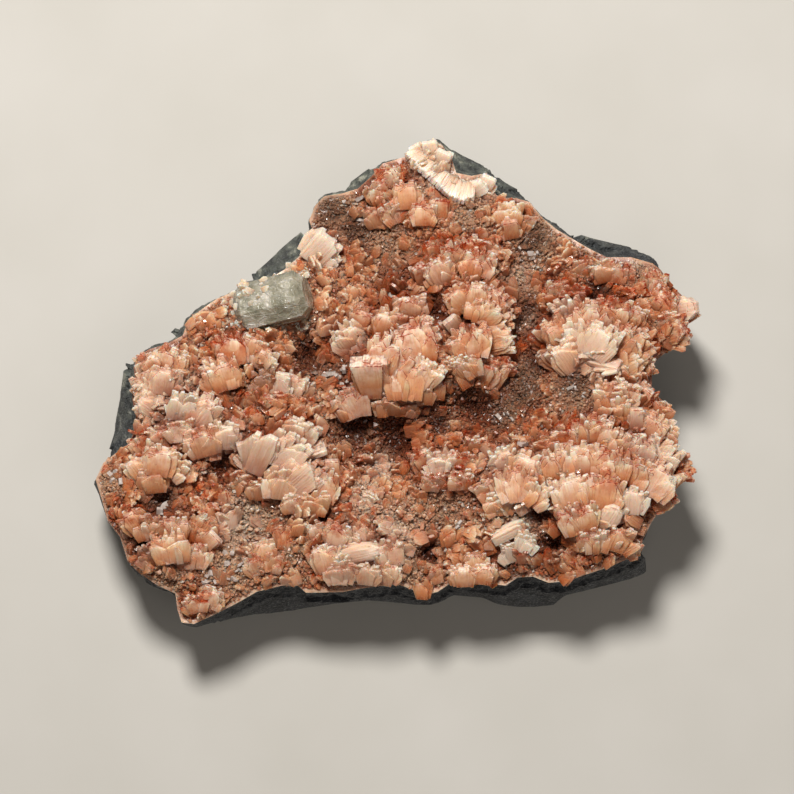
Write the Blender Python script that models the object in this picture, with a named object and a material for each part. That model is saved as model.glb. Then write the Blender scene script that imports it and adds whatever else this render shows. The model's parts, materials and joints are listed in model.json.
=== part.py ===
"""Heulandite on stilbite: crystals on a broken slab of dark basalt, lying on its back.

The slab rests on its flat back, so the crystal side looks up. +X runs along the longest
side, +Y towards the slab's peak and +Z out of the crystal side. The origin is under the
middle of the specimen, on the face that it rests on. Places and sizes are in millimetres
and are turned into metres when a mesh is made.
"""

import math
import random

import bmesh
import bpy
from mathutils import Matrix, Vector
from mathutils.geometry import delaunay_2d_cdt

MM = 0.001
GAP = 0.3
STANDING_GAP = 0.7

# Slab of basalt: height of the broken rim above the back, and how the sides fall back.
# Shakes make the sides' broken facets: a new one starts at some of the rim's points.
RIM_HEIGHT = 36.0
SIDE_DROP = 6.0
SIDE_DROP_PER_FLARE = 1.15
WAIST_HEIGHT = 9.0
WAIST_SCALE = 0.965
WAIST_SHAKE = 0.008
BACK_SCALE = 0.89
BACK_SHAKE = 0.010
SIDE_ROUGHNESS = 1.7
FACET_CHANCE = 0.3
GRAIN_SHARE = 0.3

# Stilbite crust: a drusy skin that lines the rock.
CRUST_EDGE = 1.6
CRUST_MIDDLE = 4.2
CRUST_FADE = 7.0
DRUSE_RELIEF = 1.3
BED_STEP = 13.0
BED_MARGIN = 4.0
DRUSE_STEP = 7.0
DRUSE_MARGIN = 2.2
GRID_SHAKE = 0.28
GRID_CORNER = (-105.0, -85.0)
GRID_SIZE = (210.0, 170.0)
HIDDEN_SHARE = 0.33
CUTTER_REACH = 1.2
CUTTER_BOTTOM = 5.0

# Crystals: a coffin-shaped tablet, as shares of its width and its length.
COFFIN = [(-0.30, -0.5), (0.30, -0.5), (0.5, 0.12), (0.25, 0.5), (-0.25, 0.5), (-0.5, 0.12)]
THICKNESS_SHARE = 0.40
CREST_THINNING = 0.35
SUNK_SHARE = 0.14
LEAST_LIFT = 0.8
HEADING_SHAKE = 4.0
PARTNER_MIN_WIDTH = 8.5
PARTNER_SIZE = (0.79, 0.91)
PARTNER_THICKNESS = 0.9
PARTNER_TURN = 15.0
PARTNER_BEHIND = 0.75
PARTNER_AHEAD = 0.12
MOUND_REACH = 19.0
MOUND_SUNK = 0.25
MOUND_DEPTH = 12.0

# Slivers where tablets cross are merged away, on groups with more triangles than this.
KEPT_SHARE = 0.46
KEPT_WHOLE = 120

# Broken edge of the crust (x, y) and the widest reach of the rock just outside it (x, y),
# anticlockwise from the left tip.
RIM = [
    (-98.5, -31.5, -100.0, -33.0),
    (-96.5, -38.0, -98.0, -39.0),
    (-94.5, -45.0, -96.0, -46.0),
    (-90.5, -50.0, -92.0, -51.5),
    (-88.0, -58.0, -89.5, -59.0),
    (-84.0, -62.0, -86.0, -63.5),
    (-78.0, -66.0, -79.0, -68.0),
    (-72.5, -68.5, -73.5, -70.5),
    (-71.8, -74.0, -72.6, -75.0),
    (-70.5, -78.0, -71.0, -79.3),
    (-66.5, -78.5, -66.5, -80.3),
    (-60.0, -75.5, -60.0, -79.0),
    (-53.0, -72.0, -54.5, -77.5),
    (-46.0, -68.0, -47.5, -76.5),
    (-38.0, -66.0, -40.0, -76.0),
    (-32.5, -66.0, -33.0, -75.0),
    (-30.0, -68.3, -29.0, -74.0),
    (-18.0, -68.0, -18.0, -72.3),
    (-10.0, -66.5, -10.0, -71.5),
    (0.0, -65.5, -1.0, -72.3),
    (4.0, -67.0, 5.0, -73.0),
    (9.0, -69.0, 11.0, -73.0),
    (13.0, -68.0, 14.5, -72.0),
    (18.0, -64.5, 18.0, -70.0),
    (28.0, -65.0, 28.0, -70.8),
    (35.0, -66.0, 33.0, -73.0),
    (39.0, -63.3, 39.0, -74.0),
    (44.0, -63.0, 46.0, -74.0),
    (49.0, -65.0, 51.5, -73.3),
    (55.0, -64.5, 55.0, -70.0),
    (62.0, -62.0, 63.0, -68.0),
    (68.0, -60.0, 71.0, -66.0),
    (74.0, -57.5, 77.0, -64.5),
    (78.7, -56.0, 82.0, -62.5),
    (79.5, -51.0, 81.0, -53.0),
    (82.0, -46.0, 82.5, -46.5),
    (84.5, -42.0, 84.9, -42.3),
    (88.0, -36.5, 88.4, -36.8),
    (92.0, -32.0, 92.4, -32.2),
    (94.5, -28.0, 94.9, -28.0),
    (92.5, -24.0, 92.9, -24.0),
    (89.5, -19.5, 89.9, -19.5),
    (89.0, -12.5, 89.4, -12.3),
    (86.5, -6.0, 86.9, -5.8),
    (82.5, -2.5, 82.9, -2.4),
    (82.5, 3.0, 82.9, 3.0),
    (84.0, 7.5, 84.3, 7.3),
    (89.0, 11.5, 89.3, 11.2),
    (93.0, 15.0, 93.4, 14.8),
    (94.0, 20.0, 94.4, 20.0),
    (97.0, 24.5, 97.4, 24.5),
    (94.0, 27.0, 94.3, 27.3),
    (89.0, 32.0, 89.3, 32.3),
    (85.5, 37.0, 86.0, 37.5),
    (83.0, 39.0, 84.0, 41.5),
    (76.0, 41.0, 76.0, 45.0),
    (68.0, 41.0, 70.0, 46.5),
    (62.0, 44.0, 63.0, 48.0),
    (57.0, 47.0, 57.0, 50.0),
    (52.0, 50.0, 52.0, 53.5),
    (47.0, 54.0, 47.5, 56.0),
    (43.0, 59.0, 43.5, 60.5),
    (38.5, 60.3, 40.0, 63.5),
    (33.0, 60.5, 35.5, 66.0),
    (30.5, 63.0, 33.0, 68.0),
    (29.0, 68.5, 30.0, 70.5),
    (24.0, 67.5, 25.0, 73.3),
    (19.0, 68.5, 20.5, 75.5),
    (17.5, 73.0, 17.5, 77.3),
    (14.0, 78.0, 13.5, 80.3),
    (10.0, 78.3, 9.0, 79.8),
    (5.0, 74.5, 5.0, 77.0),
    (0.0, 73.0, 0.0, 74.6),
    (-5.0, 71.5, -5.0, 73.0),
    (-9.0, 67.0, -10.5, 70.0),
    (-13.0, 63.5, -16.0, 66.0),
    (-18.0, 62.0, -19.0, 63.5),
    (-24.0, 61.0, -24.5, 62.3),
    (-27.0, 58.0, -27.8, 58.6),
    (-29.0, 53.0, -29.8, 53.6),
    (-27.5, 49.0, -31.0, 50.5),
    (-29.0, 45.0, -34.5, 48.0),
    (-32.5, 41.0, -38.0, 45.0),
    (-37.0, 37.0, -42.0, 41.0),
    (-42.0, 34.0, -46.0, 37.3),
    (-48.0, 32.5, -50.5, 34.5),
    (-53.0, 30.0, -55.0, 31.5),
    (-59.0, 27.5, -60.0, 28.8),
    (-64.0, 24.0, -66.0, 25.0),
    (-68.5, 20.5, -70.0, 22.0),
    (-70.0, 15.5, -74.0, 17.5),
    (-76.0, 12.5, -78.0, 14.5),
    (-81.0, 11.0, -83.0, 13.0),
    (-85.0, 8.5, -88.0, 9.5),
    (-86.0, 5.0, -90.0, 5.5),
    (-85.5, 1.0, -91.0, 0.0),
    (-86.5, -5.0, -91.5, -5.0),
    (-85.3, -11.0, -93.0, -11.0),
    (-86.0, -16.0, -93.5, -16.0),
    (-87.5, -20.0, -95.0, -21.0),
    (-91.5, -22.5, -96.5, -25.0),
    (-96.0, -26.0, -99.0, -29.0),
]

# Swells and hollows of the rock under the crust: x, y, radius, height.
SWELLS = [
    (2.0, 8.0, 19.0, 9.0),
    (-15.0, -3.0, 9.0, 3.0),
    (64.0, 14.0, 19.0, 9.0),
    (62.0, -30.0, 26.0, 10.0),
    (38.0, -32.0, 13.0, 5.0),
    (-36.0, -24.0, 15.0, 7.0),
    (-64.0, -11.0, 11.0, 4.0),
    (-77.0, 4.0, 12.0, 3.0),
    (-78.0, -24.0, 12.0, 4.0),
    (-73.0, -52.0, 13.0, 4.0),
    (-14.0, -54.0, 14.0, 4.0),
    (27.0, 27.0, 11.0, 6.0),
    (25.0, 10.0, 12.0, 5.0),
    (22.0, 41.0, 13.0, 5.0),
    (8.0, 63.0, 14.0, 3.0),
    (-52.0, 13.0, 13.0, 4.0),
    (-37.0, 0.0, 8.0, 3.0),
    (15.0, -26.0, 10.0, 4.0),
    (92.0, 22.0, 9.0, 2.0),
    (-6.0, -18.0, 16.0, -8.0),
    (-28.0, 9.0, 8.0, -6.0),
    (26.0, -7.0, 9.0, -8.0),
    (11.0, 24.0, 5.0, -5.0),
    (40.0, 10.0, 9.0, -7.0),
    (44.0, 39.0, 13.0, -3.0),
    (-19.0, 56.0, 9.0, -3.0),
    (-8.0, 42.0, 15.0, -4.0),
    (14.0, -40.0, 12.0, -4.0),
    (-47.0, -43.0, 9.0, -4.0),
    (32.0, -56.0, 7.0, -4.0),
    (10.0, -55.0, 6.0, -4.0),
    (-77.0, -38.0, 7.0, -5.0),
    (50.0, -52.0, 8.0, -5.0),
    (-57.0, -28.0, 7.0, -5.0),
    (66.0, 30.0, 7.0, -3.0),
]

# Crystal groups. Each row is one tablet: x, y, width, length, the way its crest points and
# the way its broad face looks (degrees, 0 along +X, 90 along +Y), and how far the face is
# turned from straight up.
HEULANDITE = {
    "heulandite_centre": [
        (-9.0, 3.0, 11.0, 15.0, 100, 265, 45),
        (-16.0, 16.0, 9.0, 11.0, 125, 290, 41),
        (-11.0, 22.0, 7.0, 9.0, 65, 245, 46),
        (-3.0, 20.0, 9.0, 11.0, 75, 260, 41),
        (4.0, 25.0, 9.0, 10.0, 90, 270, 54),
        (5.0, 14.0, 13.0, 15.0, 100, 280, 28),
        (-3.0, 10.0, 12.0, 14.0, 80, 270, 32),
        (10.0, 17.0, 8.0, 10.0, 30, 210, 48),
        (11.0, 9.5, 6.5, 8.5, 20, 245, 45),
        (2.0, 2.0, 12.0, 14.0, 90, 265, 30),
        (9.0, 4.0, 9.0, 11.0, 60, 240, 41),
        (-4.0, -6.0, 8.0, 10.0, 100, 270, 54),
        (-15.0, -5.0, 11.0, 12.0, 110, 275, 37),
        (9.0, -3.0, 4.5, 8.0, 90, 270, 39),
        (13.5, -2.0, 4.0, 7.0, 85, 265, 41),
        (3.0, -7.0, 7.0, 8.0, 80, 270, 57),
    ],
    "heulandite_arch": [
        (19.0, 28.0, 8.0, 10.0, 135, 300, 46),
        (25.5, 29.0, 9.0, 10.0, 85, 265, 43),
        (32.0, 27.0, 9.0, 11.0, 40, 220, 45),
        (34.5, 21.5, 6.5, 9.0, 350, 190, 45),
        (28.0, 24.0, 8.0, 10.0, 60, 250, 37),
        (24.0, 14.5, 11.0, 12.0, 95, 275, 28),
        (33.0, 14.5, 9.0, 12.0, 15, 230, 37),
        (19.5, 12.0, 6.5, 9.0, 115, 290, 46),
        (17.5, 19.0, 5.0, 8.0, 130, 310, 50),
        (22.0, 6.0, 8.0, 10.0, 125, 280, 48),
        (30.0, 4.5, 10.0, 12.0, 60, 260, 45),
        (18.5, 6.0, 5.5, 8.0, 120, 270, 54),
        (35.5, 6.0, 6.0, 8.0, 30, 230, 50),
    ],
    "heulandite_upper": [
        (12.0, 44.0, 6.0, 8.0, 110, 290, 46),
        (18.0, 42.0, 8.0, 10.0, 100, 280, 43),
        (13.0, 37.0, 9.0, 11.0, 120, 290, 43),
        (26.0, 39.5, 9.5, 9.5, 80, 270, 39),
        (24.0, 44.5, 6.5, 9.0, 90, 270, 46),
        (31.0, 42.0, 7.0, 9.0, 50, 250, 46),
        (7.0, 36.0, 5.0, 8.0, 110, 300, 54),
    ],
    "heulandite_top": [
        (3.0, 61.5, 8.0, 9.0, 95, 270, 30),
        (8.0, 55.5, 7.0, 8.0, 90, 270, 34),
        (14.0, 56.5, 4.5, 8.0, 85, 265, 34),
        (-2.0, 55.5, 6.5, 8.0, 120, 290, 43),
        (-7.0, 62.5, 7.0, 9.0, 110, 290, 45),
        (-3.0, 67.5, 7.0, 9.0, 100, 280, 41),
        (-7.5, 54.5, 6.0, 8.0, 100, 270, 46),
    ],
    "heulandite_shoulder": [
        (36.0, 55.5, 8.0, 8.0, 90, 270, 37),
        (41.0, 53.0, 5.5, 7.0, 60, 250, 46),
        (36.5, 50.5, 5.0, 7.0, 100, 280, 45),
    ],
    "heulandite_upper_right": [
        (55.0, 23.5, 9.0, 11.0, 115, 285, 41),
        (62.0, 22.5, 12.0, 13.0, 90, 270, 37),
        (70.0, 23.0, 9.0, 12.0, 80, 265, 45),
        (76.5, 22.0, 7.0, 10.0, 60, 250, 46),
        (51.0, 17.0, 9.0, 12.0, 125, 300, 41),
        (58.5, 16.0, 10.0, 12.0, 100, 270, 28),
        (66.0, 14.5, 11.0, 13.0, 60, 250, 32),
        (73.5, 14.5, 10.0, 12.0, 60, 240, 36),
        (79.5, 13.0, 8.0, 11.0, 30, 220, 41),
        (54.0, 9.5, 10.0, 12.0, 130, 290, 41),
        (49.0, 9.0, 7.0, 10.0, 150, 300, 45),
        (65.5, 6.5, 4.5, 13.0, 165, 95, 41),
        (75.5, 7.0, 8.0, 10.0, 40, 230, 41),
        (80.5, 6.0, 6.0, 8.0, 20, 220, 45),
        (45.5, 15.0, 6.0, 8.0, 150, 300, 45),
        (52.0, 30.5, 6.5, 8.0, 100, 280, 52),
        (57.5, 29.5, 6.5, 8.0, 80, 265, 52),
    ],
    "heulandite_right_tip": [
        (91.0, 17.0, 8.0, 10.0, 20, 200, 48),
        (86.5, 27.0, 9.0, 10.0, 60, 240, 46),
        (93.5, 24.0, 7.0, 11.0, 10, 195, 45),
        (83.0, 33.0, 8.0, 9.0, 80, 250, 46),
        (87.5, 21.0, 6.0, 8.0, 100, 270, 54),
    ],
    "heulandite_right": [
        (68.0, -2.0, 8.5, 8.0, 90, 270, 50),
        (74.0, -2.0, 8.0, 8.5, 65, 245, 48),
        (79.5, -3.0, 8.0, 9.0, 50, 230, 45),
        (85.0, -8.0, 7.0, 9.0, 60, 240, 45),
        (71.5, -7.5, 7.0, 9.0, 90, 270, 43),
        (77.0, -11.5, 4.5, 9.0, 90, 270, 36),
        (83.0, -13.0, 9.0, 10.0, 60, 240, 34),
        (87.0, -16.5, 7.0, 9.0, 45, 220, 45),
        (48.0, -20.0, 7.0, 9.0, 110, 280, 46),
        (56.0, -16.5, 10.0, 11.0, 95, 270, 45),
        (64.0, -14.0, 9.0, 11.0, 80, 265, 41),
        (69.5, -17.5, 9.0, 11.0, 60, 250, 34),
        (78.0, -20.0, 9.0, 11.0, 80, 260, 45),
        (86.0, -23.0, 10.0, 12.0, 50, 240, 34),
        (92.0, -27.5, 8.0, 10.0, 5, 200, 41),
        (52.0, -25.0, 11.0, 13.0, 100, 270, 30),
        (61.0, -24.0, 10.0, 12.0, 90, 265, 30),
        (70.0, -26.0, 9.0, 12.0, 80, 260, 34),
        (77.0, -28.0, 9.0, 11.0, 70, 250, 34),
        (84.0, -30.5, 12.0, 12.0, 60, 250, 27),
        (56.0, -34.0, 12.0, 13.0, 110, 270, 28),
        (66.0, -34.0, 11.0, 13.0, 80, 265, 30),
        (75.5, -37.0, 8.0, 10.0, 85, 268, 39),
        (86.0, -36.5, 8.0, 9.0, 30, 230, 37),
        (57.5, -42.5, 11.0, 12.0, 110, 275, 43),
        (68.5, -42.0, 10.0, 11.0, 60, 260, 37),
        (63.0, -50.0, 9.0, 10.0, 90, 270, 50),
        (72.0, -49.5, 8.0, 10.0, 60, 260, 46),
        (76.0, -53.0, 6.0, 7.0, 30, 250, 50),
        (34.0, -24.5, 8.0, 10.0, 110, 290, 39),
        (42.0, -26.0, 9.0, 11.0, 70, 250, 37),
        (30.0, -34.0, 9.0, 11.0, 140, 290, 39),
        (38.0, -31.5, 12.0, 13.0, 95, 270, 28),
        (44.5, -35.0, 8.0, 10.0, 60, 240, 36),
        (32.5, -38.5, 8.0, 8.5, 100, 280, 46),
    ],
    "heulandite_lower_spray": [
        (8.0, -24.0, 8.0, 9.0, 120, 290, 46),
        (14.5, -25.0, 9.0, 9.0, 100, 270, 41),
        (21.0, -24.5, 7.0, 8.0, 80, 260, 46),
        (25.0, -19.0, 6.0, 8.0, 90, 270, 57),
        (12.0, -31.0, 8.0, 8.0, 90, 270, 59),
        (21.0, -30.5, 8.0, 8.0, 80, 270, 57),
    ],
    "heulandite_left_fan": [
        (-43.5, -22.0, 9.0, 18.0, 75, 240, 41),
        (-48.5, -22.5, 5.5, 10.0, 110, 280, 34),
        (-35.5, -21.0, 11.0, 14.0, 50, 250, 37),
        (-30.5, -23.5, 5.0, 15.0, 15, 100, 45),
        (-30.0, -29.5, 12.0, 13.0, 40, 265, 34),
        (-38.0, -31.5, 9.0, 12.0, 70, 275, 39),
        (-24.0, -32.5, 8.0, 12.0, 80, 255, 32),
        (-21.0, -28.5, 5.0, 10.0, 95, 265, 37),
        (-31.0, -15.0, 10.0, 10.0, 60, 260, 39),
        (-50.0, -30.0, 7.0, 9.0, 120, 290, 57),
        (-44.0, -33.5, 7.0, 9.0, 90, 270, 54),
        (-34.0, -38.5, 6.0, 8.0, 90, 275, 50),
        (-27.0, -38.5, 7.0, 9.0, 90, 270, 46),
    ],
    "heulandite_left_blades": [
        (-63.0, -8.0, 9.0, 14.0, 60, 255, 34),
        (-69.0, -6.5, 8.0, 12.0, 75, 268, 37),
        (-63.5, -18.0, 10.0, 11.0, 110, 280, 45),
        (-56.0, -16.0, 8.0, 10.0, 90, 275, 43),
        (-70.5, -14.5, 7.0, 9.0, 100, 270, 46),
    ],
    "heulandite_left_rim": [
        (-80.5, 7.0, 8.0, 9.0, 120, 290, 41),
        (-73.0, 8.0, 9.0, 10.0, 60, 250, 37),
        (-81.0, 0.0, 9.0, 10.0, 120, 290, 34),
        (-75.5, 2.0, 9.0, 10.0, 80, 260, 37),
        (-81.5, -7.0, 7.0, 8.0, 150, 300, 41),
    ],
    "heulandite_left": [
        (-77.5, -16.5, 7.0, 8.0, 100, 270, 46),
        (-83.5, -19.5, 7.0, 9.0, 130, 290, 41),
        (-77.0, -24.0, 10.0, 11.0, 80, 260, 34),
        (-84.5, -27.0, 8.0, 9.0, 130, 290, 37),
        (-71.5, -26.0, 8.0, 10.0, 50, 240, 41),
        (-79.5, -30.5, 9.0, 9.0, 100, 270, 43),
    ],
    "heulandite_lower_left": [
        (-86.0, -44.0, 8.0, 9.0, 130, 290, 39),
        (-79.0, -46.0, 9.0, 10.0, 90, 265, 45),
        (-72.0, -46.5, 8.0, 10.0, 90, 270, 43),
        (-64.5, -46.0, 6.0, 9.0, 60, 245, 36),
        (-61.0, -51.0, 5.0, 8.0, 40, 230, 39),
        (-74.0, -52.5, 10.0, 11.0, 100, 270, 34),
        (-67.0, -55.0, 9.0, 10.0, 90, 275, 37),
        (-80.0, -55.0, 8.0, 9.0, 120, 285, 41),
    ],
    "heulandite_foot": [
        (-60.5, -69.0, 7.0, 8.0, 70, 260, 43),
        (-66.5, -71.0, 6.0, 7.0, 110, 280, 46),
    ],
    "heulandite_front_rim": [
        (21.5, -61.5, 8.0, 8.0, 95, 270, 44),
        (28.5, -61.0, 7.0, 8.0, 80, 265, 40),
        (25.0, -57.5, 6.0, 8.0, 100, 280, 42),
    ],
    "heulandite_upper_rim": [
        (66.0, 37.0, 7.0, 8.0, 110, 285, 46),
        (72.5, 36.5, 8.0, 8.0, 80, 265, 44),
        (60.0, 38.5, 6.0, 8.0, 100, 280, 46),
    ],
    "heulandite_pink": [
        (-43.5, -54.0, 6.5, 9.0, 100, 280, 34),
        (-40.0, -57.5, 5.5, 8.0, 80, 265, 41),
        (-47.0, -58.5, 5.5, 8.0, 120, 290, 43),
    ],
    "heulandite_bottom": [
        (-27.0, -48.0, 6.0, 8.0, 120, 290, 43),
        (-19.5, -48.0, 8.0, 9.0, 70, 260, 45),
        (-12.5, -54.5, 7.0, 14.0, 10, 255, 32),
        (-24.5, -56.0, 8.0, 10.0, 110, 280, 37),
        (-18.5, -60.5, 8.0, 9.0, 90, 270, 43),
        (-10.0, -61.0, 7.0, 8.0, 80, 265, 45),
        (-3.0, -54.0, 8.0, 11.0, 100, 280, 37),
        (-2.5, -61.0, 7.0, 7.0, 80, 265, 46),
    ],
    "heulandite_inner_left": [
        (-43.0, 0.5, 7.0, 9.0, 100, 280, 37),
        (-37.5, -0.5, 4.5, 10.0, 80, 260, 34),
        (-33.0, 0.0, 7.0, 9.0, 60, 250, 41),
        (-40.0, -5.0, 7.0, 8.0, 90, 270, 54),
    ],
    "heulandite_left_upper": [
        (-57.5, 3.5, 11.0, 11.0, 110, 285, 37),
        (-53.5, 12.0, 11.0, 11.0, 100, 270, 34),
        (-46.0, 12.5, 7.0, 8.0, 70, 255, 41),
        (-43.0, 8.5, 7.0, 8.0, 60, 245, 43),
    ],
}

STILBITE = {
    "stilbite_sheaf": [
        (9.0, 69.5, 9.0, 12.0, 135, 290, 34),
        (14.0, 65.5, 9.0, 14.0, 150, 280, 32),
        (21.0, 63.5, 7.0, 12.0, 345, 255, 37),
        (26.0, 64.5, 6.0, 9.0, 25, 250, 41),
        (11.5, 74.0, 7.0, 8.0, 100, 280, 37),
    ],
    "stilbite_chip": [
        (-25.0, 44.5, 9.0, 11.0, 45, 250, 36),
        (-22.0, 41.0, 7.0, 8.0, 20, 240, 41),
    ],
    "stilbite_blades": [
        (36.5, -48.0, 6.0, 13.0, 26, 285, 36),
        (41.5, -51.0, 6.0, 8.0, 70, 255, 41),
        (37.0, -54.0, 6.0, 8.0, 110, 280, 45),
    ],
}

# Apophyllite: one stubby eight-sided crystal that lies along the upper left rim.
APOPHYLLITE_MIDDLE = (-40.5, 26.5)
APOPHYLLITE_LENGTH = 24.0
APOPHYLLITE_RADIUS = 8.2
APOPHYLLITE_HEADING = 14.0
APOPHYLLITE_RISE = 14.0
APOPHYLLITE_ROLL = 12.0
APOPHYLLITE_BEVEL = 2.6
APOPHYLLITE_LIFT = 2.5


def clear_scene():
    for thing in list(bpy.data.objects):
        bpy.data.objects.remove(thing, do_unlink=True)


def principled(name, colour, roughness, transmission=0.0):
    material = bpy.data.materials.new(name)
    material.use_nodes = True
    shader = material.node_tree.nodes["Principled BSDF"]
    shader.inputs["Base Color"].default_value = (*colour, 1.0)
    shader.inputs["Roughness"].default_value = roughness
    shader.inputs["Metallic"].default_value = 0.0
    shader.inputs["Transmission Weight"].default_value = transmission
    material.diffuse_color = (*colour, 1.0)
    return material


def basalt_material():
    return principled("basalt", (0.045, 0.055, 0.070), 0.75)


def crust_material():
    return principled("drusy_stilbite", (0.46, 0.24, 0.15), 0.45)


def heulandite_material():
    return principled("heulandite", (0.80, 0.50, 0.34), 0.35)


def stilbite_material():
    return principled("white_stilbite", (0.88, 0.80, 0.72), 0.35)


def apophyllite_material():
    return principled("apophyllite", (0.52, 0.58, 0.50), 0.12, transmission=0.5)


def bed_height(x, y):
    """Height of the rock's crystal side above its back."""
    height = RIM_HEIGHT
    for cx, cy, radius, rise in SWELLS:
        reach = ((x - cx) ** 2 + (y - cy) ** 2) / radius**2
        height += rise * math.exp(-reach)
    return height


def rim_distance(x, y):
    """How far a place is from the broken edge of the crust."""
    nearest = 1000.0
    for index, (ax, ay, _, _) in enumerate(RIM):
        bx, by = RIM[(index + 1) % len(RIM)][:2]
        along = ((x - ax) * (bx - ax) + (y - ay) * (by - ay)) / ((bx - ax) ** 2 + (by - ay) ** 2)
        along = min(1.0, max(0.0, along))
        gap = math.hypot(x - ax - along * (bx - ax), y - ay - along * (by - ay))
        nearest = min(nearest, gap)
    return nearest


def inside_rim(x, y):
    inside = False
    for index, (ax, ay, _, _) in enumerate(RIM):
        bx, by = RIM[(index + 1) % len(RIM)][:2]
        if (ay > y) != (by > y) and x < ax + (y - ay) * (bx - ax) / (by - ay):
            inside = not inside
    return inside


def crust_top(x, y):
    """Height of the crust's surface, without its small facets."""
    share = min(1.0, rim_distance(x, y) / CRUST_FADE)
    return bed_height(x, y) + CRUST_EDGE + (CRUST_MIDDLE - CRUST_EDGE) * share


def scattered_points(step, margin, seed):
    """Places inside the rim, on a shaken grid."""
    chance = random.Random(seed)
    places = []
    for row in range(int(GRID_SIZE[1] / step) + 1):
        for column in range(int(GRID_SIZE[0] / step) + 1):
            x = GRID_CORNER[0] + (column + 0.5 * (row % 2)) * step
            y = GRID_CORNER[1] + row * step
            x += chance.uniform(-GRID_SHAKE, GRID_SHAKE) * step
            y += chance.uniform(-GRID_SHAKE, GRID_SHAKE) * step
            if inside_rim(x, y) and rim_distance(x, y) > margin:
                places.append((x, y))
    return places


def under_crystals(x, y):
    """Whether a place is hidden below one of the crystal groups."""
    for rows in [*HEULANDITE.values(), *STILBITE.values()]:
        for cx, cy, width, length, *_ in rows:
            if math.hypot(x - cx, y - cy) < HIDDEN_SHARE * (width + length):
                return True
    return False


def inner_points():
    """Places inside the rim: wide apart under the crystals and closer where the crust shows."""
    places = scattered_points(BED_STEP, BED_MARGIN, 5)
    for x, y in scattered_points(DRUSE_STEP, DRUSE_MARGIN, 8):
        apart = min(math.hypot(x - ox, y - oy) for ox, oy in places)
        if apart > 0.5 * DRUSE_STEP and not under_crystals(x, y):
            places.append((x, y))
    return places


def sheet(height):
    """Triangles over everything inside the rim: points with their heights, and faces."""
    rim = [Vector(row[:2]) for row in RIM]
    flat = rim + [Vector(place) for place in inner_points()]
    count = len(rim)
    edges = [(i, (i + 1) % count) for i in range(count)]
    points, _, faces, _, _, _ = delaunay_2d_cdt(flat, edges, [list(range(count))], 1, 1e-6)
    if len(points) != len(flat):
        raise ValueError("the rim crosses itself")
    points = [(p.x, p.y, height(p.x, p.y)) for p in points]
    return points, [counterclockwise(points, tuple(face)) for face in faces]


def druse_sheet():
    """The crust's upper surface, with small facets away from its broken edge."""
    chance = random.Random(21)

    def height(x, y):
        share = min(1.0, rim_distance(x, y) / CRUST_FADE)
        return crust_top(x, y) + share * DRUSE_RELIEF * chance.uniform(-1.0, 1.0)

    return sheet(height)


def counterclockwise(points, face):
    a, b, c = (points[i] for i in face)
    area = (b[0] - a[0]) * (c[1] - a[1]) - (c[0] - a[0]) * (b[1] - a[1])
    return face if area > 0 else tuple(reversed(face))


def mesh_object(name, points, faces, material):
    mesh = bpy.data.meshes.new(name)
    mesh.from_pydata([Vector(p) * MM for p in points], [], faces)
    if material is not None:
        mesh.materials.append(material)
    mesh.update()
    thing = bpy.data.objects.new(name, mesh)
    bpy.context.scene.collection.objects.link(thing)
    return thing


def bridge_rings(faces, upper, lower, count):
    """Side faces between two rings of points, given by their first indices."""
    for i in range(count):
        j = (i + 1) % count
        faces.append((upper + i, lower + i, lower + j))
        faces.append((upper + i, lower + j, upper + j))


def add_basalt(material):
    """The broken slab: a flat back, rough sides and a swelling crystal side."""
    chance = random.Random(11)
    points, faces = sheet(bed_height)
    count = len(RIM)
    rings = [0]
    for level in range(3):
        rings.append(len(points))
        facet = 0.0
        for rim_x, rim_y, out_x, out_y in RIM:
            flare = math.hypot(out_x - rim_x, out_y - rim_y)
            if chance.random() < FACET_CHANCE:
                facet = chance.uniform(-1.0, 1.0)
            shake = (facet + GRAIN_SHARE * chance.uniform(-1.0, 1.0)) * SIDE_ROUGHNESS
            if level == 0:
                drop = SIDE_DROP + SIDE_DROP_PER_FLARE * flare + shake
                points.append((out_x, out_y, bed_height(rim_x, rim_y) - drop))
            elif level == 1:
                scale = WAIST_SCALE + shake * WAIST_SHAKE
                points.append((out_x * scale, out_y * scale, WAIST_HEIGHT + shake))
            else:
                scale = BACK_SCALE + shake * BACK_SHAKE
                points.append((out_x * scale, out_y * scale, 0.0))
    for upper, lower in zip(rings, rings[1:]):
        bridge_rings(faces, upper, lower, count)
    faces.append(tuple(rings[3] + i for i in reversed(range(count))))
    return mesh_object("basalt_matrix", points, faces, material)


def add_crust(material):
    """The drusy skin: it follows the rock below and shows its broken edge at the rim."""
    points, faces = druse_sheet()
    under, under_faces = sheet(bed_height)
    first = len(points)
    points += [(x, y, z + GAP) for x, y, z in under]
    faces += [tuple(first + i for i in reversed(face)) for face in under_faces]
    bridge_rings(faces, 0, first, len(RIM))
    return mesh_object("stilbite_crust", points, faces, material)


def add_crust_cutter():
    """Everything under the crust's surface and a small gap, which the crystals stand on."""
    points, faces = druse_sheet()
    count = len(RIM)
    points = [(x, y, z + STANDING_GAP) for x, y, z in points]
    skirt = len(points)
    points += [(x * CUTTER_REACH, y * CUTTER_REACH, z) for x, y, z in points[:count]]
    for i in range(count):
        j = (i + 1) % count
        faces.append((i, skirt + i, skirt + j))
        faces.append((i, skirt + j, j))
    bottom = len(points)
    points += [(x, y, CUTTER_BOTTOM) for x, y, _ in points[skirt:bottom]]
    bridge_rings(faces, skirt, bottom, count)
    faces.append(tuple(bottom + i for i in reversed(range(count))))
    cutter = mesh_object("crust_cutter", points, faces, None)
    cutter.hide_render = True
    cutter.display_type = "WIRE"
    return cutter


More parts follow.
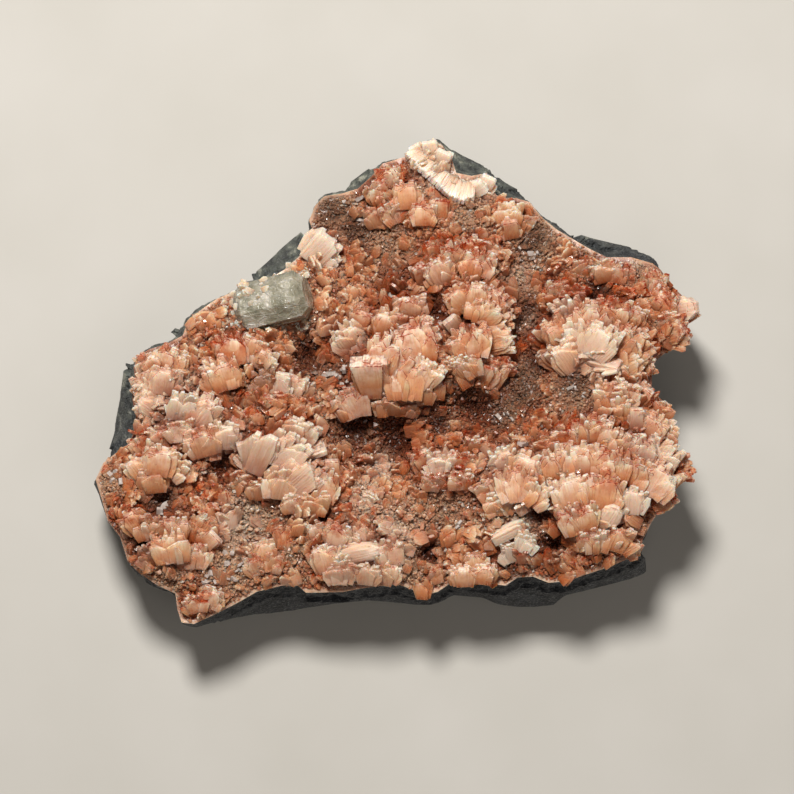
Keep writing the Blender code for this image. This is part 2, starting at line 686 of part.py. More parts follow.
def tablet_frame(x, y, length, crest, facing, tilt, thickness):
    """Where a tablet stands: its middle, crest direction, width direction and face normal."""
    facing = math.radians(facing)
    tilt = math.radians(tilt)
    crest = math.radians(crest)
    normal = Vector((
        math.sin(tilt) * math.cos(facing),
        math.sin(tilt) * math.sin(facing),
        math.cos(tilt),
    ))
    rise = -(normal.x * math.cos(crest) + normal.y * math.sin(crest)) / normal.z
    along = Vector((math.cos(crest), math.sin(crest), rise)).normalized()
    across = along.cross(normal).normalized()
    lift = (0.5 * along.z - SUNK_SHARE) * length + 0.5 * thickness * normal.z
    middle = Vector((x, y, crust_top(x, y) + max(lift, LEAST_LIFT)))
    return middle, along, across, normal


def add_tablet(points, faces, middle, along, across, normal, width, length, thickness):
    first = len(points)
    for side in (1, -1):
        for w, v in COFFIN:
            half = 0.5 * thickness * (1 - CREST_THINNING * (v + 0.5))
            points.append(middle + across * (w * width) + along * (v * length) + normal * (side * half))
    count = len(COFFIN)
    faces.append(tuple(first + i for i in range(count)))
    faces.append(tuple(first + count + i for i in reversed(range(count))))
    for i in range(count):
        j = (i + 1) % count
        faces.append((first + j, first + i, first + count + i, first + count + j))


def add_mound(points, faces, places):
    """The grown-together base of a group: a low mound through the tablets' middles."""
    flat = [Vector((x, y)) for x, y, _ in places]
    _, _, found, _, _, _ = delaunay_2d_cdt(flat, [], [], 0, 1e-6)
    kept = []
    for face in found:
        sides = [(flat[face[i]] - flat[face[i - 1]]).length for i in range(3)]
        if max(sides) < MOUND_REACH:
            kept.append(counterclockwise(places, tuple(face)))
    first = len(points)
    count = len(places)
    points += [Vector(place) for place in places]
    points += [Vector((x, y, z - MOUND_DEPTH)) for x, y, z in places]
    walls = {(face[i - 1], face[i]) for face in kept for i in range(3)}
    for face in kept:
        faces.append(tuple(first + i for i in face))
        faces.append(tuple(first + count + i for i in reversed(face)))
    for i, j in sorted(walls):
        if (j, i) not in walls:
            faces.append((first + i, first + count + i, first + count + j, first + j))


def fill_pockets(thing):
    """Keeps the group's outer surface only: air closed off between crystals is filled."""
    form = bmesh.new()
    form.from_mesh(thing.data)
    unseen = set(form.faces)
    shells = []
    while unseen:
        shell = [unseen.pop()]
        for face in shell:
            for edge in face.edges:
                for other in edge.link_faces:
                    if other in unseen:
                        unseen.remove(other)
                        shell.append(other)
        shells.append(shell)
    shells.sort(key=lambda shell: sum(face.calc_area() for face in shell))
    for shell in shells[:-1]:
        bmesh.ops.delete(form, geom=shell, context="FACES")
    bmesh.ops.triangulate(form, faces=form.faces)
    form.to_mesh(thing.data)
    form.free()


def add_crystals(name, rows, cutter, material, seed):
    """One group of tablets grown together, cut off where it stands on the crust."""
    chance = random.Random(seed)
    points = []
    faces = []
    places = []
    for x, y, width, length, crest, facing, tilt in rows:
        crest += chance.uniform(-HEADING_SHAKE, HEADING_SHAKE)
        facing += chance.uniform(-HEADING_SHAKE, HEADING_SHAKE)
        thickness = width * THICKNESS_SHARE
        frame = tablet_frame(x, y, length, crest, facing, tilt, thickness)
        add_tablet(points, faces, *frame, width, length, thickness)
        middle = frame[0]
        places.append((middle.x, middle.y, middle.z - MOUND_SUNK * thickness))
        if width >= PARTNER_MIN_WIDTH:
            _, along, across, normal = frame
            turn = Matrix.Rotation(math.radians(PARTNER_TURN), 3, across)
            along = turn @ along
            normal = turn @ normal
            middle = middle - normal * (PARTNER_BEHIND * thickness) + along * (PARTNER_AHEAD * length)
            size = chance.uniform(*PARTNER_SIZE)
            add_tablet(points, faces, middle, along, across, normal,
                       width * size, length * size, thickness * PARTNER_THICKNESS)
    if len(places) > 2:
        add_mound(points, faces, places)
    thing = mesh_object(name, points, faces, material)
    cut = thing.modifiers.new("stand on crust", "BOOLEAN")
    cut.operation = "DIFFERENCE"
    cut.solver = "EXACT"
    cut.use_self = True
    cut.object = cutter
    bpy.context.view_layer.update()
    evaluated = thing.evaluated_get(bpy.context.evaluated_depsgraph_get())
    mesh = bpy.data.meshes.new_from_object(evaluated)
    thing.modifiers.clear()
    thing.data = mesh
    fill_pockets(thing)
    if len(thing.data.polygons) > KEPT_WHOLE:
        thin = thing.modifiers.new("drop slivers", "DECIMATE")
        thin.ratio = KEPT_SHARE
    return thing


def add_apophyllite(cutter, material):
    """A stubby eight-sided prism with a bevelled end, half sunk into the crust."""
    form = bmesh.new()
    bmesh.ops.create_cone(form, segments=8, radius1=APOPHYLLITE_RADIUS * MM,
                          radius2=APOPHYLLITE_RADIUS * MM, depth=APOPHYLLITE_LENGTH * MM,
                          cap_ends=True)
    ends = [face for face in form.faces if len(face.verts) == 8]
    rims = {edge for face in ends for edge in face.edges}
    bmesh.ops.bevel(form, geom=list(rims), offset=APOPHYLLITE_BEVEL * MM, segments=1,
                    affect="EDGES")
    lean = Matrix.Rotation(math.radians(90 - APOPHYLLITE_RISE), 4, "Y")
    heading = Matrix.Rotation(math.radians(APOPHYLLITE_HEADING), 4, "Z")
    roll = Matrix.Rotation(math.radians(APOPHYLLITE_ROLL), 4, "Z")
    x, y = APOPHYLLITE_MIDDLE
    place = Matrix.Translation(Vector((x, y, crust_top(x, y) + APOPHYLLITE_LIFT)) * MM)
    bmesh.ops.transform(form, matrix=place @ heading @ lean @ roll, verts=form.verts)
    mesh = bpy.data.meshes.new("apophyllite_crystal")
    form.to_mesh(mesh)
    form.free()
    mesh.materials.append(material)
    thing = bpy.data.objects.new("apophyllite_crystal", mesh)
    bpy.context.scene.collection.objects.link(thing)
    cut = thing.modifiers.new("stand on crust", "BOOLEAN")
    cut.operation = "DIFFERENCE"
    cut.solver = "EXACT"
    cut.object = cutter
    return thing


def main():
    clear_scene()
    add_basalt(basalt_material())
    add_crust(crust_material())
    cutter = add_crust_cutter()
    heulandite = heulandite_material()
    stilbite = stilbite_material()
    for seed, (name, rows) in enumerate(HEULANDITE.items()):
        add_crystals(name, rows, cutter, heulandite, 100 + seed)
    for seed, (name, rows) in enumerate(STILBITE.items()):
        add_crystals(name, rows, cutter, stilbite, 200 + seed)
    add_apophyllite(cutter, apophyllite_material())


main()
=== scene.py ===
"""Heulandite on stilbite: the looks of the specimen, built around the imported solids.

The slab lies on its back and the camera looks down on the crystals. Places and sizes are in
millimetres and are turned into metres when a mesh is made. Heights come from the frame: the
crystals stand on the crust that the solids give.
"""

import json
import math
import random

import bmesh
import bpy
import numpy as np
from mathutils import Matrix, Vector, noise
from mathutils.bvhtree import BVHTree

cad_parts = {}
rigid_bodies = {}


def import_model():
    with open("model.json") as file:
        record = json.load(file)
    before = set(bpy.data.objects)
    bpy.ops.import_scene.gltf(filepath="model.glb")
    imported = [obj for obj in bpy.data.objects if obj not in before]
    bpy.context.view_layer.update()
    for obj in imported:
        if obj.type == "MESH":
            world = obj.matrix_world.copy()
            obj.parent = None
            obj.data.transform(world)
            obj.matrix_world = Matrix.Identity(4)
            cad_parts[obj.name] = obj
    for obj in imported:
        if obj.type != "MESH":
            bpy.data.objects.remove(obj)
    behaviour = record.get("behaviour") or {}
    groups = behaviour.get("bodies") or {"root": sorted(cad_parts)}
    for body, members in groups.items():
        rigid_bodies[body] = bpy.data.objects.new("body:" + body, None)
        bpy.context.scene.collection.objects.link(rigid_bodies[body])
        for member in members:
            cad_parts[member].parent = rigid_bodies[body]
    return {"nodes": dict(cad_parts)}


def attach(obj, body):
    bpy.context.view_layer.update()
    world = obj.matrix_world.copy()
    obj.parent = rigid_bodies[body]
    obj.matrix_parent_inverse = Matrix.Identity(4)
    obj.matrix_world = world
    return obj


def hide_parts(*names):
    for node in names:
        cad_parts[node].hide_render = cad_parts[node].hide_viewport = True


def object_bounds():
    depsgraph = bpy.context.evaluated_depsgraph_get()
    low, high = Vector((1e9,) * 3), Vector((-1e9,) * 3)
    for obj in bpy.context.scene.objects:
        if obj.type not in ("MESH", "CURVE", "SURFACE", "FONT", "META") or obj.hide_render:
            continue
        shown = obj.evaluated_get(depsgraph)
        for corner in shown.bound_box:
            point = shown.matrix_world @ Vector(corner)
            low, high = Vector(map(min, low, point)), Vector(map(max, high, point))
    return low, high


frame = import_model()
cad_low, cad_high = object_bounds()

MM = 0.001

# Camera: one photograph pixel in millimetres at the crystals' height, and where the
# photograph's middle is over the specimen.
IMAGE_SIDE = 794
PIXEL = 0.325
FOCUS_HEIGHT = 41.0
VIEW_MIDDLE = (-0.3, -4.5)
LENS = 180.0
SENSOR = 36.0

# Height map of the crust, read from the solids.
MAP_STEP = 0.8
MAP_LEFT = -101.0
MAP_BOTTOM = -82.0
MAP_WIDE = 252
MAP_TALL = 206

# How a tablet of the solids stands on the crust, as in the source.
SUNK_SHARE = 0.14
LEAST_LIFT = 0.8
THICKNESS_SHARE = 0.40

# Leading sheaves. Each is x, y, width, length, the way its crest points and the way its broad
# face looks (degrees, 0 along +X, 90 along +Y), and the face's tilt from straight up. A name at
# the end gives the form of one stout crystal that leads the sheaf.
HEULANDITE = {
    "heulandite_centre": [
        (-9, 3, 11, 15, 100, 265, 45, "wedge"), (-16, 16, 9, 11, 125, 290, 41),
        (-11, 22, 7, 9, 65, 245, 46), (-3, 20, 9, 11, 75, 260, 41), (4, 25, 9, 10, 90, 270, 54),
        (5, 14, 13, 15, 100, 280, 28), (-3, 10, 12, 14, 80, 270, 32), (10, 17, 8, 10, 30, 210, 48),
        (11, 9.5, 6.5, 8.5, 20, 245, 45), (2, 2, 12, 14, 90, 265, 30), (9, 4, 9, 11, 60, 240, 41),
        (-4, -6, 8, 10, 100, 270, 54), (-15, -5, 11, 12, 110, 275, 37),
        (9, -3, 4.5, 8, 90, 270, 39), (13.5, -2, 4, 7, 85, 265, 41), (3, -7, 7, 8, 80, 270, 57),
    ],
    "heulandite_arch": [
        (19, 28, 8, 10, 135, 300, 46), (25.5, 29, 9, 10, 85, 265, 43), (32, 27, 9, 11, 40, 220, 45),
        (34.5, 21.5, 6.5, 9, 350, 190, 45), (28, 24, 8, 10, 60, 250, 37),
        (24, 14.5, 11, 12, 95, 275, 28), (33, 14.5, 9, 12, 15, 230, 37),
        (19.5, 12, 6.5, 9, 115, 290, 46), (17.5, 19, 5, 8, 130, 310, 50),
        (22, 6, 8, 10, 125, 280, 48), (30, 4.5, 10, 12, 60, 260, 45),
        (18.5, 6, 5.5, 8, 120, 270, 54), (35.5, 6, 6, 8, 30, 230, 50),
    ],
    "heulandite_upper": [
        (12, 44, 6, 8, 110, 290, 46), (18, 42, 8, 10, 100, 280, 43), (13, 37, 9, 11, 120, 290, 43),
        (26, 39.5, 9.5, 9.5, 80, 270, 39), (24, 44.5, 6.5, 9, 90, 270, 46),
        (31, 42, 7, 9, 50, 250, 46), (7, 36, 5, 8, 110, 300, 54),
    ],
    "heulandite_top": [
        (3, 61.5, 8, 9, 95, 270, 30), (8, 55.5, 7, 8, 90, 270, 34), (14, 56.5, 4.5, 8, 85, 265, 34),
        (-2, 55.5, 6.5, 8, 120, 290, 43), (-7, 62.5, 7, 9, 110, 290, 45),
        (-3, 67.5, 7, 9, 100, 280, 41), (-7.5, 54.5, 6, 8, 100, 270, 46),
    ],
    "heulandite_shoulder": [
        (36, 55.5, 8, 8, 90, 270, 37), (41, 53, 5.5, 7, 60, 250, 46),
        (36.5, 50.5, 5, 7, 100, 280, 45),
    ],
    "heulandite_upper_right": [
        (55, 23.5, 9, 11, 115, 285, 41), (62, 22.5, 12, 13, 90, 270, 37),
        (70, 23, 9, 12, 80, 265, 45), (76.5, 22, 7, 10, 60, 250, 46), (51, 17, 9, 12, 125, 300, 41),
        (58.5, 16, 10, 12, 100, 270, 28), (66, 14.5, 11, 13, 60, 250, 32),
        (73.5, 14.5, 10, 12, 60, 240, 36), (79.5, 13, 8, 11, 30, 220, 41),
        (54, 9.5, 10, 12, 130, 290, 41), (49, 9, 7, 10, 150, 300, 45),
        (65.5, 6.5, 4.5, 13, 165, 95, 41), (75.5, 7, 8, 10, 40, 230, 41),
        (80.5, 6, 6, 8, 20, 220, 45), (45.5, 15, 6, 8, 150, 300, 45),
        (52, 30.5, 6.5, 8, 100, 280, 52), (57.5, 29.5, 6.5, 8, 80, 265, 52),
    ],
    "heulandite_right_tip": [
        (91, 17, 8, 10, 20, 200, 48), (86.5, 27, 9, 10, 60, 240, 46),
        (93.5, 24, 7, 11, 10, 195, 45, "tablet"), (83, 33, 8, 9, 80, 250, 46),
        (87.5, 21, 6, 8, 100, 270, 54),
    ],
    "heulandite_right": [
        (68, -2, 8.5, 8, 90, 270, 50), (74, -2, 8, 8.5, 65, 245, 48), (79.5, -3, 8, 9, 50, 230, 45),
        (85, -8, 7, 9, 60, 240, 45), (71.5, -7.5, 7, 9, 90, 270, 43),
        (77, -11.5, 4.5, 9, 90, 270, 36), (83, -13, 9, 10, 60, 240, 34),
        (87, -16.5, 7, 9, 45, 220, 45), (48, -20, 7, 9, 110, 280, 46),
        (56, -16.5, 10, 11, 95, 270, 45), (64, -14, 9, 11, 80, 265, 41),
        (69.5, -17.5, 9, 11, 60, 250, 34), (78, -20, 9, 11, 80, 260, 45),
        (86, -23, 10, 12, 50, 240, 34), (92, -27.5, 8, 10, 5, 200, 41),
        (52, -25, 11, 13, 100, 270, 30), (61, -24, 10, 12, 90, 265, 30),
        (70, -26, 9, 12, 80, 260, 34), (77, -28, 9, 11, 70, 250, 34),
        (84, -30.5, 12, 12, 60, 250, 27), (56, -34, 12, 13, 110, 270, 28),
        (66, -34, 11, 13, 80, 265, 30), (75.5, -37, 8, 10, 85, 268, 39),
        (86, -36.5, 8, 9, 30, 230, 37), (57.5, -42.5, 11, 12, 110, 275, 43),
        (68.5, -42, 7.5, 9, 60, 260, 37, "lens"), (63, -50, 9, 10, 90, 270, 50),
        (72, -49.5, 8, 10, 60, 260, 46), (76, -53, 6, 7, 30, 250, 50),
        (34, -24.5, 8, 10, 110, 290, 39), (42, -26, 9, 11, 70, 250, 37),
        (30, -34, 9, 11, 140, 290, 39), (38, -31.5, 12, 13, 95, 270, 28),
        (44.5, -35, 8, 10, 60, 240, 36), (32.5, -38.5, 8, 8.5, 100, 280, 46),
    ],
    "heulandite_lower_spray": [
        (8, -24, 8, 9, 120, 290, 46), (14.5, -25, 9, 9, 100, 270, 41),
        (21, -24.5, 7, 8, 80, 260, 46), (25, -19, 6, 8, 90, 270, 57), (12, -31, 8, 8, 90, 270, 59),
        (21, -30.5, 8, 8, 80, 270, 57),
    ],
    "heulandite_left_fan": [
        (-43.5, -22, 7.5, 17, 66, 240, 41, "right"), (-48.5, -22.5, 5.5, 10, 110, 280, 34),
        (-35.5, -21, 11, 14, 50, 250, 37), (-30.5, -23.5, 5, 15, 15, 100, 45),
        (-30, -29.5, 12, 13, 40, 265, 34), (-38, -31.5, 9, 12, 70, 275, 39),
        (-24, -32.5, 8, 12, 80, 255, 32), (-21, -28.5, 5, 10, 95, 265, 37),
        (-31, -15, 10, 10, 60, 260, 39), (-50, -30, 7, 9, 120, 290, 57),
        (-44, -33.5, 7, 9, 90, 270, 54), (-34, -38.5, 6, 8, 90, 275, 50),
        (-27, -38.5, 7, 9, 90, 270, 46),
    ],
    "heulandite_left_blades": [
        (-63, -8, 9, 14, 60, 255, 34), (-69, -6.5, 8, 12, 75, 268, 37),
        (-63.5, -18, 10, 11, 110, 280, 45), (-56, -16, 8, 10, 90, 275, 43),
        (-70.5, -14.5, 7, 9, 100, 270, 46),
    ],
    "heulandite_left_rim": [
        (-80.5, 7, 8, 9, 120, 290, 41), (-73, 8, 9, 10, 60, 250, 37), (-81, 0, 9, 10, 120, 290, 34),
        (-75.5, 2, 9, 10, 80, 260, 37), (-81.5, -7, 7, 8, 150, 300, 41),
    ],
    "heulandite_left": [
        (-77.5, -16.5, 7, 8, 100, 270, 46), (-83.5, -19.5, 7, 9, 130, 290, 41),
        (-77, -24, 10, 11, 80, 260, 34), (-84.5, -27, 8, 9, 130, 290, 37),
        (-71.5, -26, 8, 10, 50, 240, 41), (-79.5, -30.5, 9, 9, 100, 270, 43),
    ],
    "heulandite_lower_left": [
        (-86, -44, 8, 9, 130, 290, 39), (-79, -46, 9, 10, 90, 265, 45),
        (-72, -46.5, 8, 10, 90, 270, 43), (-64.5, -46, 6, 9, 60, 245, 36),
        (-61, -51, 5, 8, 40, 230, 39), (-74, -52.5, 10, 11, 100, 270, 34),
        (-67, -55, 9, 10, 90, 275, 37), (-80, -55, 8, 9, 120, 285, 41),
    ],
    "heulandite_foot": [
        (-60.5, -69, 7, 8, 70, 260, 43), (-66.5, -71, 6, 7, 110, 280, 46),
    ],
    "heulandite_front_rim": [
        (21.5, -61.5, 8, 8, 95, 270, 44), (28.5, -61, 7, 8, 80, 265, 40),
        (25, -57.5, 6, 8, 100, 280, 42),
    ],
    "heulandite_upper_rim": [
        (66, 37, 7, 8, 110, 285, 46), (72.5, 36.5, 8, 8, 80, 265, 44),
        (60, 38.5, 6, 8, 100, 280, 46),
    ],
    "heulandite_pink": [
        (-43.5, -54, 6.5, 9, 100, 280, 34), (-40, -57.5, 5.5, 8, 80, 265, 41),
        (-47, -58.5, 5.5, 8, 120, 290, 43),
    ],
    "heulandite_bottom": [
        (-27, -48, 6, 8, 120, 290, 43), (-19.5, -48, 8, 9, 70, 260, 45),
        (-12.5, -54.5, 7, 14, 10, 255, 32, "lens"), (-24.5, -56, 8, 10, 110, 280, 37),
        (-18.5, -60.5, 8, 9, 90, 270, 43), (-10, -61, 7, 8, 80, 265, 45),
        (-3, -54, 8, 11, 100, 280, 37), (-2.5, -61, 7, 7, 80, 265, 46),
    ],
    "heulandite_inner_left": [
        (-43, 0.5, 7, 9, 100, 280, 37), (-37.5, -0.5, 4.5, 10, 80, 260, 34),
        (-33, 0, 7, 9, 60, 250, 41), (-40, -5, 7, 8, 90, 270, 54),
    ],
    "heulandite_left_upper": [
        (-57.5, 3.5, 11, 11, 110, 285, 37), (-53.5, 12, 11, 11, 100, 270, 34),
        (-46, 12.5, 7, 8, 70, 255, 41), (-43, 8.5, 7, 8, 60, 245, 43),
    ],
}

STILBITE = {
    "stilbite_sheaf": [
        (26, 63.5, 5, 6, 25, 250, 41), (29, 65.5, 5, 6, 60, 250, 45),
        (10.5, 76.5, 5, 6, 100, 280, 37), (14.5, 73.5, 5, 6, 60, 250, 45),
        (6, 76, 4, 5, 130, 290, 45),
    ],
    "stilbite_chip": [
        (-25, 44.5, 9, 11, 45, 250, 36, "broad"), (-22, 41, 7, 8, 20, 240, 41),
    ],
    "stilbite_blades": [
        (36.5, -48, 4.4, 13, 26, 285, 40, "right"), (41.5, -51, 6, 8, 70, 255, 41),
        (37, -54, 6, 8, 110, 280, 45),
    ],
}

# The silky white band at the peak, made of blades that lie across it side by side: places on
# its middle line, each as x, y, the blades' length there, their direction and their tilt. Then
# how many blades there are, and how high their middles lie above the ground.
BAND = [
    (4.5, 75.5, 5.0, 205, 20), (7.5, 72.5, 7.0, 214, 34), (11.0, 69.0, 7.0, 222, 44),
    (14.5, 65.5, 6.0, 232, 38), (18.0, 63.0, 6.5, 245, 26), (21.5, 61.5, 7.5, 258, 36),
    (24.5, 62.0, 6.0, 275, 44),
]
BAND_BLADES = 88
BAND_LIFT = 2.0

# Where the crust's colour changes, each place as x, y and radius: dull grey druse, rust-stained
# crystals, hollows darkened with painted shade, wider shaded valleys, and white or pale crystals.
GREY_DRUSE = [
    (-20, 57, 9), (-5, 48, 9), (-12, 50, 7), (3, 38, 4), (-3, 44, 7), (22, 54, 7), (43, 42, 9),
    (46, 50, 6), (38, 31, 7), (42, 20, 5), (42, 6, 6), (41, -3, 5), (57, -4, 7), (15, -40, 9),
    (-45, -43, 9), (-55, -60, 9), (-35, -56, 6), (-77, -39, 6), (-93, -32, 5), (63, 43, 6),
    (77, 37, 5), (-20, 2, 6), (-75, -62, 6), (4, -62, 5), (35, -10, 5), (-14, -65, 7),
]
RUST = [
    (45, 15, 5), (54, 31, 6), (78, -18, 6), (-66, -72, 7), (25, -18, 6), (57, -14, 6),
    (-62, -37, 7), (-84, -42, 6), (-50, -8, 8), (-40, -10, 6), (16, 45, 7), (23, 43, 7),
    (6, 35, 4), (-2, 27, 6), (-57, 12, 7), (36, 8, 4), (-75, -13, 6), (-82, -20, 5),
    (8, -22, 7), (18, -30, 7), (-28, -62, 6), (40, -58, 6), (50, -60, 6), (85, 30, 6),
    (88, 14, 6), (72, 30, 7), (-12, -38, 7), (-4, -44, 7), (-20, -45, 5), (-90, -42, 5),
    (62, -56, 6), (0, 66, 6), (-60, -28, 6), (30, -14, 7), (44, -10, 6), (13, 54, 7),
]
SHADED_HOLLOWS = [
    (12, 24, 4), (22, 22, 2.5), (-3, 30, 3), (-30, 9, 4), (26, -7, 5), (12, -13, 5),
    (-14, -14, 8), (0, -18, 7), (10, -55, 4), (33, -56, 4), (46, -42, 4), (-57, -26, 4),
    (-24, -43, 3), (-77, -38, 4), (-82, -53, 3.5), (50, -52, 4), (65, 29, 4),
]
VALLEY = [
    (22, -4, 8), (31, -8, 9), (40, -2, 8), (12, -10, 8), (0, -15, 9), (-12, -13, 8), (45, 6, 5),
    (-29, 7, 6), (-30, 15, 5), (20, 22, 4), (12, 24, 5), (-14, 50, 6), (-22, 57, 6), (-20, 56, 4),
    (44, 47, 6), (-3, 31, 5), (-52, -4, 4), (-78, -38, 7), (-59, -27, 5), (-85, -51, 5),
    (10, -55, 5), (45, -44, 4), (50, -54, 6), (38, -60, 5), (65, 30, 5),
    (-26, -44, 4), (57, 1, 6), (42, 24, 4), (-44, 2, 3), (90, 13, 4),
]
WHITE = [
    (66, 6, 5), (-13, 12, 5), (-15, -54, 9), (-33, -24, 9), (-48, -22, 4), (61, 13, 8),
    (84, -25, 5), (69, -42, 5), (76, -37, 4), (77, -10, 3), (14, -26, 5), (40, 35, 4),
    (55, 25, 3), (-37, 0, 3), (13, 69, 8), (25, 64, 6), (-24, 44, 6), (37, -49, 7),
    (94, 24, 5), (78, 38, 5), (-74, -7, 12), (-54, -17, 7), (-51, -45, 9), (-2, -48, 8),
    (-11, -37, 6), (-6, -27, 5), (39, -43, 5), (41, 20, 4), (81, -19, 6), (33, -27, 6),
]

# Clear, glassy crystals in the grey druse: each place as x, y, radius and how many grow there.
GLASSY = [
    (-20, 2, 5.0, 16), (-54, -59, 4.5, 12), (40, -19, 1.6, 4), (35, -10, 2.0, 4),
    (-92, -30, 2.0, 4), (-3, 27, 2.0, 4), (14, -26, 3.0, 5), (-16, 57, 4.0, 6),
    (42, 40, 4.0, 6), (-10, -66, 2.5, 4), (-60, -64, 2.5, 5), (-75, -40, 3.0, 4),
    (58, -4, 3.0, 5), (20, -45, 3.5, 5),
]

# Cream plates over the apophyllite's left end and on the rim by it: how many are tried, between
# which places, and how far in from the crust's edge. On the crystal they get fewer to the right
# and below a line in y, over so many millimetres, and so strongly.
FROST_COUNT = 300
FROST_X = (-58.0, -30.0)
FROST_Y = (17.0, 42.0)
FROST_MARGIN = 1.2
FROST_LINE = 28
FROST_FADE = 30
FROST_BARE = 1.6

# Sheaf of heulandite plates: how many layers it has, the step between plates side by side, and
# in degrees how far its layers lean apart, how far its crest fans out and how unevenly the
# plates grew. Then how many short plates stand in front of it, and up to which width and from
# which length, as a share of its width, one stout crystal leads it.
LAYERS = 5
PLATE_STEP = 2.9
LAYER_LEAN = 8.0
FAN = 20.0
SHAKE = 3.5
FRONT_PLATES = 5
NARROW = 5.0
LONG = 1.75

# How near to straight up a crystal's broad faces look in its model, and how much its sides count
# as an edge, where the margins of its broad faces count fully.
BROAD_FACE = 0.7
SIDE_EDGE = 0.5

# Small sheaves on the ground between: their step, how far in from the crust's edge they start,
# how near to a leading sheaf they grow, as a share of its width and length, and what sets them
# apart from a leading one. Then how bare of them grey druse, dark hollows and valleys are.
SMALL_STEP = 3.2
SMALL_MARGIN = 2.6
SMALL_NEAR = 0.15
SMALL_SHEAF = {"layers": 3, "step": 2.4, "shake": 6.0, "fan": 30.0}
BARE = (0.92, 0.8, 0.6)

# The druse's grains: the same three numbers. Then how far in the glassy crystals start.
GRAIN_STEP = 0.85
GRAIN_MARGIN = 1.3
GRAIN_NEAR = 0.24
GLASSY_MARGIN = 3

# Where the apophyllite lies: its middle, and half its length and width.
APOPHYLLITE = (-40.5, 26.5, 15.0, 9.5)

# Seeds of the random draws for each kind of growth. Each leading sheaf adds its own number.
SHEAF_SEED = 300
SMALL_SEED = 51
GRAIN_SEED = 61
GLASSY_SEED = 71
FROST_SEED = 81
BAND_SEED = 91

# The druse's knobs: their height and how fine they are, how much finer the small ones on them
# are and which share of their height these have, the flat margin at the crust's edge, and over
# how much more the knobs rise. Then how far the dark hollows are pressed down, how far in from
# the edge they have their full depth, and how far the whole ground lies below the solid's.
KNOB_HEIGHT = 3.2
KNOB_SCALE = 0.28
FINER_KNOBS = 2.3
FINER_HEIGHT = 0.5
FLAT_MARGIN = 1.5
KNOB_RISE = 3.0
HOLLOW_DEPTH = 3.0
HOLLOW_MARGIN = 6.0
GROUND_DROP = 0.8

# The crust itself: how many cuts each edge of its solid gets, how far up a face has to look to
# be on the upper side, and how wide the pale broken edge is. Then its small bumps' height, how
# fine they are, and how far in from its edge they begin.
CRUST_CUTS = 7
UPPER_SIDE = 0.25
PALE_EDGE = 1.7
BUMP_HEIGHT = 0.55
BUMP_SCALES = (0.8, 0.9)
BUMP_MARGIN = 1.0

# Grid steps that are counted in from the crust's edge.
EDGE_STEPS = 14

# Facets broken off the slab: the seed, how many, their least and greatest reach, and the depth.
# Then between which heights they start, and over which share of its reach a facet fades out.
CHIPS = ((31, 70, 9, 20, 2.6), (32, 220, 4, 9, 1.4))
CHIP_HEIGHTS = (2, 36)
CHIP_BORDER = 0.35

# The slab's surface: the size of its faces, how deep it is roughened, and how much and how
# finely that varies. Then how far in from the crust's edge it is left as it was, and how far
# from the box's sides chips and roughness have their full depth.
SLAB_FACE = 0.95
WEAR = 0.3
WEAR_SWING = 0.8
WEAR_SCALE = 0.55
SLAB_RIM = 4
BOX_MARGIN = 5.0

# How far below the crust chips and roughness begin, and over how much more they grow.
CHIPPED_BELOW = (4.0, 22.0)
ROUGH_BELOW = (1.5, 3.0)

# How far the apophyllite's edges are worn, and from what angle on an edge counts as one.
WORN_EDGE = 1.1
WORN_ANGLE = 25

# Lights, in metres: place, size, power and colour. The key light stands high, towards the
# slab's peak and a little to the left.
KEY_LIGHT = ((-0.13, 0.54, 1.07), 0.24, 18.6, (1.0, 0.97, 0.93))
FILL_LIGHT = ((0.30, -0.45, 1.2), 1.0, 2.5, (1.0, 0.94, 0.88))
ROOM_COLOUR = (1.0, 0.92, 0.84, 1.0)
ROOM_LIGHT = 0.06

# How deep a place lies between the crests near it, and in the wider valleys, which the materials
# paint as shade: the crests' reach and smoothing on the map, and the depth in millimetres that
# counts as none and as full. Then how far below the crust the crests' map lies where no crystal
# stands.
GAPS = (3, 5, 1.0, 5.5)
VALLEYS = (9, 60, 2.5, 11.0)
NO_CREST = 1.5


def linear(hex_colour):
    """A colour given as sRGB hex, as the linear values that a shader works with."""
    parts = [int(hex_colour[i:i + 2], 16) / 255 for i in (0, 2, 4)]
    return *[p / 12.92 if p <= 0.04045 else ((p + 0.055) / 1.055) ** 2.4 for p in parts], 1.0


def deselect_all():
    """Leaves edit mode, with nothing selected."""
    if bpy.context.object and bpy.context.object.mode != "OBJECT":
        bpy.ops.object.mode_set(mode="OBJECT")
    bpy.ops.object.select_all(action="DESELECT")


def make_active(thing):
    """Selects one object alone."""
    deselect_all()
    thing.select_set(True)
    bpy.context.view_layer.objects.active = thing


def share_of(places, x, y):
    """How deep inside the nearest of some round places each point is, from 0 to 1."""
    share = np.zeros(np.shape(x))
    for cx, cy, radius in places:
        reach = ((x - cx) ** 2 + (y - cy) ** 2) / radius**2
        share = np.maximum(share, np.exp(-reach**1.5))
    return share


def zones_at(x, y):
    """How rusty, grey, white, dark and deep in a valley each place is."""
    return [share_of(places, x, y) for places in (RUST, GREY_DRUSE, WHITE, SHADED_HOLLOWS, VALLEY)]


# The crust's surface

